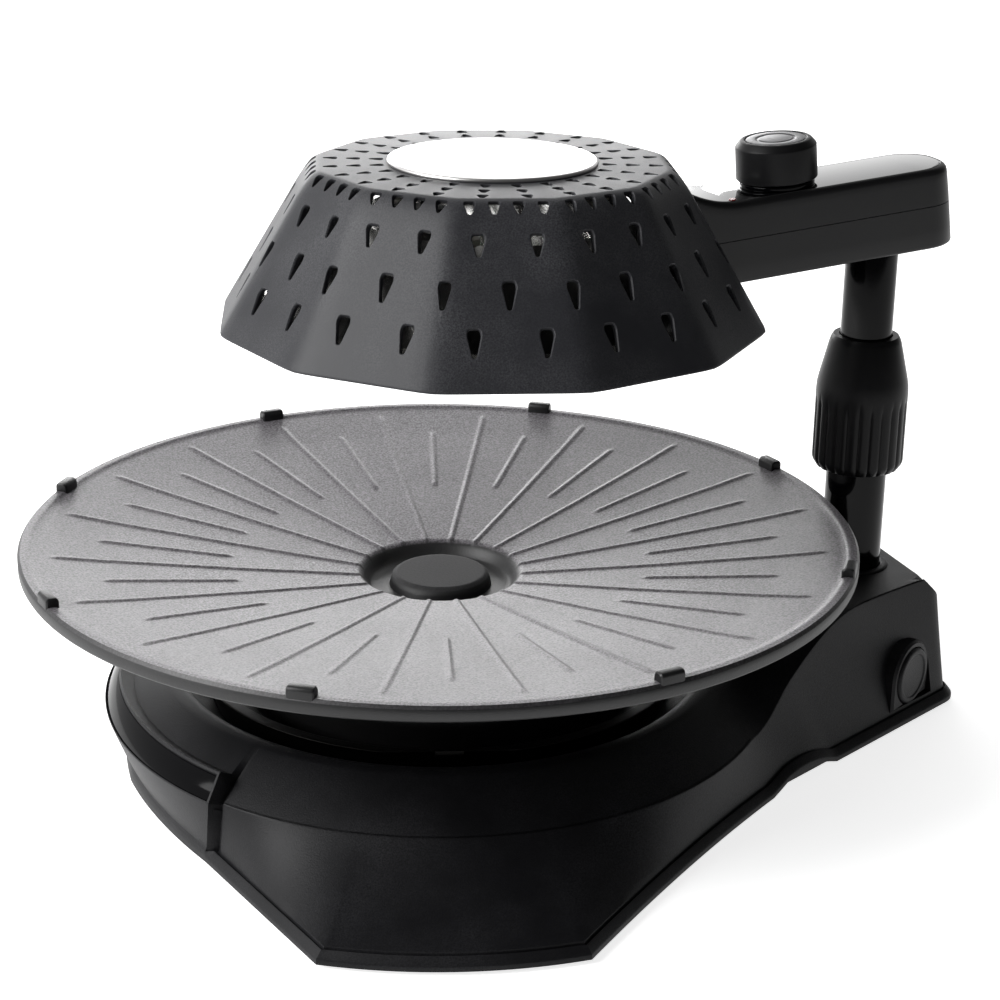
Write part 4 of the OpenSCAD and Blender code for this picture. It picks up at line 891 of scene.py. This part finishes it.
def hoodPoint(r, h, degrees):
    # a polygon's outline whose corners are drawn in by a share of the way to a circle
    soften = hoodLook["foldRound"]
    half = 180 / hoodLook["sides"]
    fromFace = (degrees % (2 * half)) - half
    sharpR = r * math.cos(math.radians(half)) / math.cos(math.radians(fromFace))
    near = max(0.0, (abs(fromFace) / half - 1 + soften) / soften)
    x, y = polar(sharpR - r * hoodLook["foldDraw"] * near * near, degrees)
    return (hoodX + x, y, hoodZ + h)


def holeShape(width, tall, grow=0.0):
    half, low, high = width / 2 + grow, -tall / 2 - grow, tall / 2 + grow
    shape = [(0, high), (-0.78 * half, high), (-half, tall * 0.3), (-0.3 * half, low), (0.3 * half, low),
             (half, tall * 0.3), (0.78 * half, high), (0, high)]
    return roundCorners(shape, 1.1, 2)[:-1]


def holeCutter(centre, across, up, out, width, tall, flare=1.0):
    # a punch that flares towards the outside, so that each hole has a soft sunk edge
    levels = ((-7, 0.0), (-0.7, 0.0), (-0.1, 0.4 * flare), (0.15, 0.8 * flare), (3, 1.5 * flare + 0.3))
    rings = []
    for depth, grow in levels:
        shape = holeShape(width, tall, grow)
        rings.append([tuple(centre + across * a + up * u + out * depth) for a, u in shape])
    return rings


def leaningAxes(degrees, lean):
    # across, up and out of a face that looks out at an angle round the hood and leans back by lean
    c, s = polar(1, degrees)
    out = Vector((c * math.cos(lean), s * math.cos(lean), math.sin(lean)))
    up = Vector((-c * math.sin(lean), -s * math.sin(lean), math.cos(lean)))
    return Vector((-s, c, 0)), up, out


def hoodHole(r, h, degrees, lean, along, width, tall, flare=1.0):
    across, up, out = leaningAxes(degrees, lean)
    x, y = polar(r, degrees)
    centre = Vector((hoodX + x, y, hoodZ + h)) + across * along
    return holeCutter(centre, across, up, out, width, tall, flare)


def sideHoles():
    # two holes high and two low on each side, one between them, one on each fold, and four in the band above
    look = hoodLook
    half = math.radians(180 / look["sides"])
    tilt = math.atan(look["slope"] * math.cos(half))
    bandR = foldR(look["shoulder"]) * math.cos(half) - 5.6
    made = []
    for k in range(look["sides"]):
        face = (k + 0.5) * 360 / look["sides"]
        for side in (-1, 1):
            if (k, side) not in ((0, -1), (look["sides"] - 1, 1)):
                for h, shape in ((53, look["highHole"]), (18, look["hole"])):
                    along = side * foldR(h) * (math.sin(half) / 2)
                    made.append(hoodHole(foldR(h) * math.cos(half), h, face, tilt, along, *shape))
        made.append(hoodHole(foldR(35) * math.cos(half), 35, face, tilt, 0, *look["hole"]))
        if k:
            made.append(hoodHole(foldR(35) * 0.993, 35, k * 360 / look["sides"], tilt, 0, *look["hole"]))
        for j in (-1.5, -0.5, 0.5, 1.5):
            made.append(hoodHole(bandR, look["shoulder"] + 7.2, face, math.radians(look["bandLean"]), 10 * j,
                                 *look["bandHole"]))
    return made


def buildHood():
    look = hoodLook
    top, shoulder, sheet = look["h"], look["shoulder"], look["sheet"]
    edge = foldR(shoulder)
    outer = roundCorners([(foldR(0) - 2.6, 0.0), (foldR(0) - 0.4, 0.0), (foldR(1.0), 1.0),
                          (foldR(shoulder * 0.35), shoulder * 0.35), (foldR(shoulder * 0.7), shoulder * 0.7),
                          (edge, shoulder), (edge - 3.4, shoulder + 5), (edge - 6.6, shoulder + 8.6),
                          (edge - 10, top), (0.5, top)], 2.6, 3)
    inner = [(0.5, top - sheet), (edge - 10 - sheet, top - sheet),
             (edge - 6.6 - sheet, shoulder + 8.6 - sheet), (edge - 1.6 * sheet, shoulder - sheet),
             (foldR(0.5) - sheet / 0.966 - 0.5, 0.6)]
    steps = 12 * look["sides"]
    rings = [[hoodPoint(r, h, 360 * k / steps) for k in range(steps)] for r, h in outer + inner]
    hood = loft("piercedHood", rings, caps=False, closedRings=True, sharp=24)
    cutters = sideHoles()
    for j in range(3):
        for k in range(24):
            c, s = polar(1, 15 * k + 7.5)
            r = discR + 5 + 10.1 * j
            centre = Vector((hoodX + r * c, r * s, hoodZ + top))
            cutters.append(holeCutter(centre, Vector((-s, c, 0)), Vector((-c, -s, 0)), Vector((0, 0, 1)),
                                      *look["topHole"]))
    points, faces = [], []
    for rings in cutters:
        base = len(points)
        points += [p for ring in rings for p in ring]
        faces += [tuple(base + i for i in f) for f in ringFaces(len(rings), len(rings[0]), caps=True)]
    carve(hood, makeObject("hoodCutter", points, faces), sharp=24)
    settle(hood, "hood", "head", "hood_shell")


buildHood()
print("hood made")


def buildTopDisc():
    z = discBox[1].z / mm
    shape = roundCorners([(0.01, z), (discR - 0.7, z), (discR, z - 0.7), (discR, z - 1.8), (3, z - 1.8),
                          (3, z - 12), (0.01, z - 12)], 0.4, 3)
    disc = lathe("brushedTopDisc", shape, (hoodX, 0), steps=160, closed=False)
    settle(disc, "disc", "head", "top_disc")


buildTopDisc()


# Arm: two moulded halves and a gloss panel, all tilted about the column
armLook = {"width": 43.0, "tail": 36.0, "corner": 16.0, "height": 37.2, "split": 20.0, "front": 107.0,
           "tilt": 5.5, "originZ": hoodZ + 19.0, "sweepLength": 32.0, "sweepRate": 0.0118}
armTurn = Matrix.Rotation(math.radians(-armLook["tilt"]), 4, "Y")
armFrame = Matrix.Translation((poleX, 0, armLook["originZ"])) @ armTurn


def onArm(x, y, z):
    return tuple(armFrame @ Vector((x, y, z)))


def armRing(d, z, lifted):
    # one outline of the arm, d inside its widest, whose front end rises where it is lifted
    look = armLook
    half, r = look["width"] / 2 - d, look["corner"]
    c = look["tail"] - d - r
    xs = [mix(-look["front"], -look["front"] + 42, k / 20) for k in range(21)]
    points = [(x, -half) for x in xs]
    for low, high, middle in ((-90, 0, -(half - r)), (0, 90, half - r)):
        arc = [polar(r, mix(low, high, k / 12)) for k in range(13)]
        points += [(c + x, middle + y) for x, y in arc]
    points += [(x, half) for x in reversed(xs)]
    ring = []
    for x, y in points:
        rise = lifted * look["sweepRate"] * max(0.0, look["sweepLength"] - look["front"] - x) ** 2
        ring.append(onArm(x, y, z + rise))
    return ring


def hoodBlock(grow):
    s, top = hoodLook["shoulder"], hoodLook["h"]
    shape = [(foldR(-12), -12.0), (foldR(s), s), (foldR(s) - 6.6, s + 8.6), (foldR(s) - 10, top + grow)]
    rings = [[hoodPoint(r + grow, h, 360 * k / 144) for k in range(144)] for r, h in shape]
    return loft("hoodBlock", rings)


def buildArmPiece(name, finish, node, shape):
    # shape is (distance inside the outline, height, how much of the front's rise)
    piece = loft(name, [armRing(d, z, lift) for d, z, lift in shape], sharp=40, strips=True)
    carve(piece, hoodBlock(0.05), sharp=40)
    settle(piece, finish, "head", node)


def buildArm():
    top, split = armLook["height"], armLook["split"]
    buildArmPiece("armLower", "arm", "arm_shell", (
        (1.6, 0.0, 0), (0.7, 0.25, 0), (0.2, 0.8, 0), (0.05, 1.6, 0), (0.25, 9.0, 0), (0.6, split - 0.2, 0),
        (0.75, split - 0.05, 0)))
    buildArmPiece("armUpper", "arm", "arm_cover", (
        (0.75, split + 0.05, 0), (0.62, split + 0.2, 0), (0.75, split + 4, 0.3), (1.1, top - 6, 0.9),
        (1.25, top - 3.2, 1), (1.5, top - 1.9, 1), (2.0, top - 0.9, 1), (2.7, top - 0.25, 1),
        (3.4, top - 0.05, 1), (3.7, top - 0.4, 1), (3.75, top - 1.3, 1)))
    buildArmPiece("armPanel", "panel", "arm_panel", (
        (3.85, top - 1.2, 1), (3.85, top - 0.3, 1), (4.0, top - 0.05, 1), (4.5, top + 0.08, 1)))


buildArm()
print("arm made")


# Knob and its ring, turned on the arm's own slope
knobLook = {"x": -48.5, "r": 18.6, "h": 18.3, "ring": 2.4, "discR": 13.5, "discLip": (8.8, 8.0)}


def knobLathe(name, shape, steps=96):
    rings = []
    for r, z in shape:
        turned = [polar(r, 360 * k / steps) for k in range(steps)]
        rings.append([onArm(knobLook["x"] + x, y, z) for x, y in turned])
    return loft(name, rings)


def buildKnob():
    look = knobLook
    base = armLook["height"] + 0.25
    ringR, ringTop = look["r"] - 1.4, base + look["ring"]
    ring = knobLathe("knobRing", roundCorners([(0.01, base), (ringR, base), (ringR, base + 1.6),
                                               (ringR - 0.5, ringTop), (0.01, ringTop)], 0.4, 3))
    settle(ring, "trim", "head", "knob_ring")
    z = ringTop + 0.35
    top = z + look["h"]
    r = look["r"]
    shape = roundCorners([(0.01, z), (r - 0.5, z), (r, z + 0.5), (r - 0.1, top - 2.9), (r - 2.3, top - 0.3),
                          (r - 3.1, top), (14.2, top), (13.9, top - 0.8), (0.01, top - 0.8)], 0.5, 4)
    settle(knobLathe("turningKnob", shape, 128), "knob", "control", "knob")
    # the disc has one shallow turned groove
    outerLip, innerLip = look["discLip"]
    low, high = top - 0.78, top - 0.08
    r = look["discR"]
    shape = roundCorners([(0.01, low), (r, low), (r, top - 0.1), (outerLip + 0.4, high),
                          (outerLip, top - 0.4), (innerLip, top - 0.4), (innerLip - 0.4, high),
                          (0.01, high)], 0.25, 2)
    settle(knobLathe("knobDisc", shape, 128), "knobDisc", "control", "knob_disc")


buildKnob()
print("knob made")


# Column: gloss tubes and the fluted lock collar
collarLook = {"z": collarBox[0].z / mm, "h": 66.0, "r": 22.0, "foot": 19.6, "rim": 16.1, "flutes": 24}


def fluted(r, z, a):
    look = collarLook
    t = (z - look["z"]) / look["h"]
    depth = 0.75 * smooth((0.54 - t) / 0.05)
    wave = abs(math.sin(a * look["flutes"] / 2))
    return r - depth * (1 - wave) ** 1.6 if r > look["r"] - 3 else r


def buildCollar():
    look = collarLook
    z, h = look["z"], look["h"]
    foot, rim, r = look["foot"], look["rim"], look["r"]
    shape = [(14.56, z), (foot - 0.5, z), (foot + 0.3, z + 0.4), (r - 0.6, z + 2.8), (r - 0.1, z + 4.2)]
    shape += [(r, z + 5.5 + 3 * k) for k in range(12)]
    shape += [(r - 0.25, z + 42), (r - 0.8, z + 45), (rim + 1.0, z + h - 3.4), (rim + 0.3, z + h - 1.4),
              (rim - 0.6, z + h), (12.8, z + h), (12.65, z + h - 1), (12.65, z + h - 8), (17.5, z + 42),
              (17.5, z + 23), (14.56, z + 22.5)]
    collar = lathe("lockCollar", shape, (poleX, 0), steps=384, sharp=50, rise=fluted)
    settle(collar, "collar", "collar", "lock_collar")


buildCollar()
tubeWall = 1.5


def buildTube(name, node, body):
    low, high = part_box(node)
    r, z0, z1 = (high.x - low.x) / 2 / mm, low.z / mm, high.z / mm
    inner = r - tubeWall
    shape = roundCorners([(inner, z0), (r, z0), (r, (z0 + z1) / 2), (r, z1), (inner, z1)], 0.4, 2)
    settle(lathe(name, shape, (poleX, 0), steps=96), "tube", body, node)


buildTube("lowerTube", "lower_tube", "base")
buildTube("upperTube", "upper_tube", "mast")


def buildSocket():
    low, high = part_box("column_socket")
    z0, z1 = low.z / mm, high.z / mm
    shape = roundCorners([(14.6, z1 - 0.6), (15.2, z1), (socketR - 0.8, z1), (socketR, z1 - 0.8),
                          (socketR, z0 + 4), (25, z0 + 4), (25, z0), (5, z0), (5, z0 + 4),
                          (14.55, z0 + 4)], 0.5, 2)
    settle(lathe("columnSocket", shape, (poleX, 0), steps=96), "base", "base", "column_socket")


buildSocket()
print("column made")


# Drip tray: a shallow steel dish with a folded tab in a gap of its rim
trayLook = {"r": 114.0, "h": 17.7, "sheet": 0.8, "tabTurn": -106, "tabHalf": 6, "gapHalf": 60}


def buildTray():
    look = trayLook
    r, sheet = look["r"], look["sheet"]
    z0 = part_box("drip_tray")[0].z / mm
    z1 = z0 + look["h"]
    shape = roundCorners([(0.5, z0), (r - 8, z0), (r - 5, z1 - sheet), (r - 0.4, z1 - sheet), (r, z1 - 0.4),
                          (r - 0.4, z1), (r - 5.8, z1), (r - 8.8, z0 + sheet), (0.5, z0 + sheet)], 1.2, 3)
    tray = lathe("dripTray", shape, (plateX, 0), steps=192, sharp=50)
    c, s = polar(1, look["tabTurn"])

    def spot(out, along, z):
        return (plateX + out * c - along * s, out * s + along * c, z)

    gap = look["gapHalf"]
    block = [(r - 4, -gap), (r + 20, -gap), (r + 20, gap), (r - 4, gap)]
    carve(tray, loft("trayCutter", [[spot(a, b, z) for a, b in block] for z in (z0 - 1, z1 + 9)]), sharp=50)
    settle(tray, "tray", "tray", "drip_tray")
    path = roundCorners([(r - 5.4, z1 - 0.1), (r + 1.7, z1 - 0.1), (r + 1.7, z1 + 2.3)], 1.0, 4)
    back = roundCorners([(r - 5.4, z1 - 0.7), (r + 1.1, z1 - 0.7), (r + 1.1, z1 + 2.3)], 1.0, 4)
    ring = path + back[::-1]
    tab = loft("trayTab", [[spot(o, w, z) for o, z in ring] for w in (-look["tabHalf"], look["tabHalf"])])
    settle(tab, "tray", "tray")


buildTray()
print("drip tray made")


# Floor, light and camera
stageLook = {"floorTint": (0.95, 0.95, 0.95), "floorGlow": 0.79, "floorReach": 6.0, "worldLight": 0.7,
             "dimShare": 0.07, "dimSide": (0.42, -0.9, 0.1), "dimFrom": -0.6, "dimTo": 0.3}
keyLampLook = {"place": (-1.4, -0.1, 1.0), "target": (0, 0, 0.12), "size": (1.0, 1.0), "power": 29.0}
backLampLook = {"place": (0.2, 1.65, 0.5), "target": (0, 0, 0.1), "size": (1.3, 0.4), "power": 11.5}
cameraLook = {"lens": 78.89, "sensor": 36, "azimuth": 19.67, "pitch": 20.06, "roll": 0.81,
              "place": (-0.3245, -0.8929, 0.46485)}


def buildStage():
    mesh = bpy.data.meshes.new("studioFloor")
    reach = stageLook["floorReach"]
    corners = [(-reach, -reach, 0), (reach, -reach, 0), (reach, reach, 0), (-reach, reach, 0)]
    mesh.from_pydata(corners, [], [(0, 1, 2, 3)])
    floor = bpy.data.objects.new("studioFloor", mesh)
    bpy.context.scene.collection.objects.link(floor)
    material, tree, shader = startMaterial("paleFloor")
    shader.inputs["Base Color"].default_value = (*stageLook["floorTint"], 1)
    shader.inputs["Roughness"].default_value = 0.6
    shader.inputs["Specular IOR Level"].default_value = 0.2
    path = addNode(tree, "ShaderNodeLightPath")
    direct = mathNode(tree, "MAXIMUM", path.outputs["Is Camera Ray"], path.outputs["Is Glossy Ray"])
    seen = mathNode(tree, "MULTIPLY", direct, stageLook["floorGlow"])
    glow = addNode(tree, "ShaderNodeEmission", Color=(1, 1, 1, 1))
    tree.links.new(seen, glow.inputs["Strength"])
    both = addNode(tree, "ShaderNodeAddShader")
    tree.links.new(shader.outputs[0], both.inputs[0])
    tree.links.new(glow.outputs[0], both.inputs[1])
    tree.links.new(both.outputs[0], tree.nodes["Material Output"].inputs["Surface"])
    mesh.materials.append(material)


def buildWorld():
    world = bpy.data.worlds.new("studioWorld")
    bpy.context.scene.world = world
    world.use_nodes = True
    tree = world.node_tree
    # the studio is white on the left and behind, dim in front and on the right, and white when seen directly
    path = addNode(tree, "ShaderNodeLightPath")
    direct = mathNode(tree, "MAXIMUM", path.outputs["Is Glossy Ray"], path.outputs["Is Transmission Ray"])
    strength = mathNode(tree, "ADD", mathNode(tree, "MULTIPLY", direct, 1 - stageLook["worldLight"]),
                        stageLook["worldLight"])
    place = addNode(tree, "ShaderNodeTexCoord")
    front = addNode(tree, "ShaderNodeVectorMath", {"operation": "DOT_PRODUCT"})
    tree.links.new(place.outputs["Generated"], front.inputs[0])
    front.inputs[1].default_value = stageLook["dimSide"]
    dim = addNode(tree, "ShaderNodeMapRange", {"interpolation_type": "SMOOTHSTEP"},
                  From_Min=stageLook["dimFrom"], From_Max=stageLook["dimTo"], To_Min=1.0,
                  To_Max=stageLook["dimShare"])
    tree.links.new(front.outputs["Value"], dim.inputs["Value"])
    strength = mathNode(tree, "MULTIPLY", strength, dim.outputs["Result"])
    strength = mathNode(tree, "MAXIMUM", strength, path.outputs["Is Camera Ray"])
    back = tree.nodes["Background"]
    back.inputs["Color"].default_value = (1, 1, 1, 1)
    tree.links.new(strength, back.inputs["Strength"])


def addLamp(name, look):
    lamp = bpy.data.lights.new(name, "AREA")
    lamp.shape = "RECTANGLE"
    lamp.size, lamp.size_y = look["size"]
    lamp.energy = look["power"]
    obj = bpy.data.objects.new(name, lamp)
    obj.location = look["place"]
    obj.rotation_euler = (Vector(look["target"]) - Vector(look["place"])).to_track_quat("-Z", "Y").to_euler()
    bpy.context.scene.collection.objects.link(obj)


def buildCamera():
    look = cameraLook
    camera = bpy.data.cameras.new("photoCamera")
    camera.lens = look["lens"]
    camera.sensor_width = look["sensor"]
    obj = bpy.data.objects.new("photoCamera", camera)
    azimuth, pitch, roll = (math.radians(look[name]) for name in ("azimuth", "pitch", "roll"))
    level = math.cos(pitch)
    forward = Vector((math.sin(azimuth) * level, math.cos(azimuth) * level, -math.sin(pitch)))
    right = forward.cross(Vector((0, 0, 1))).normalized()
    up = right.cross(forward)
    across = right * math.cos(roll) + up * math.sin(roll)
    above = across.cross(forward)
    turn = Matrix((across, above, -forward)).transposed().to_4x4()
    obj.matrix_world = Matrix.Translation(look["place"]) @ turn
    bpy.context.scene.collection.objects.link(obj)
    bpy.context.scene.camera = obj


buildStage()
buildWorld()
addLamp("keyLamp", keyLampLook)
addLamp("backLamp", backLampLook)
buildCamera()
bpy.context.scene.view_settings.view_transform = "Standard"
print("stage, lamps and camera set")
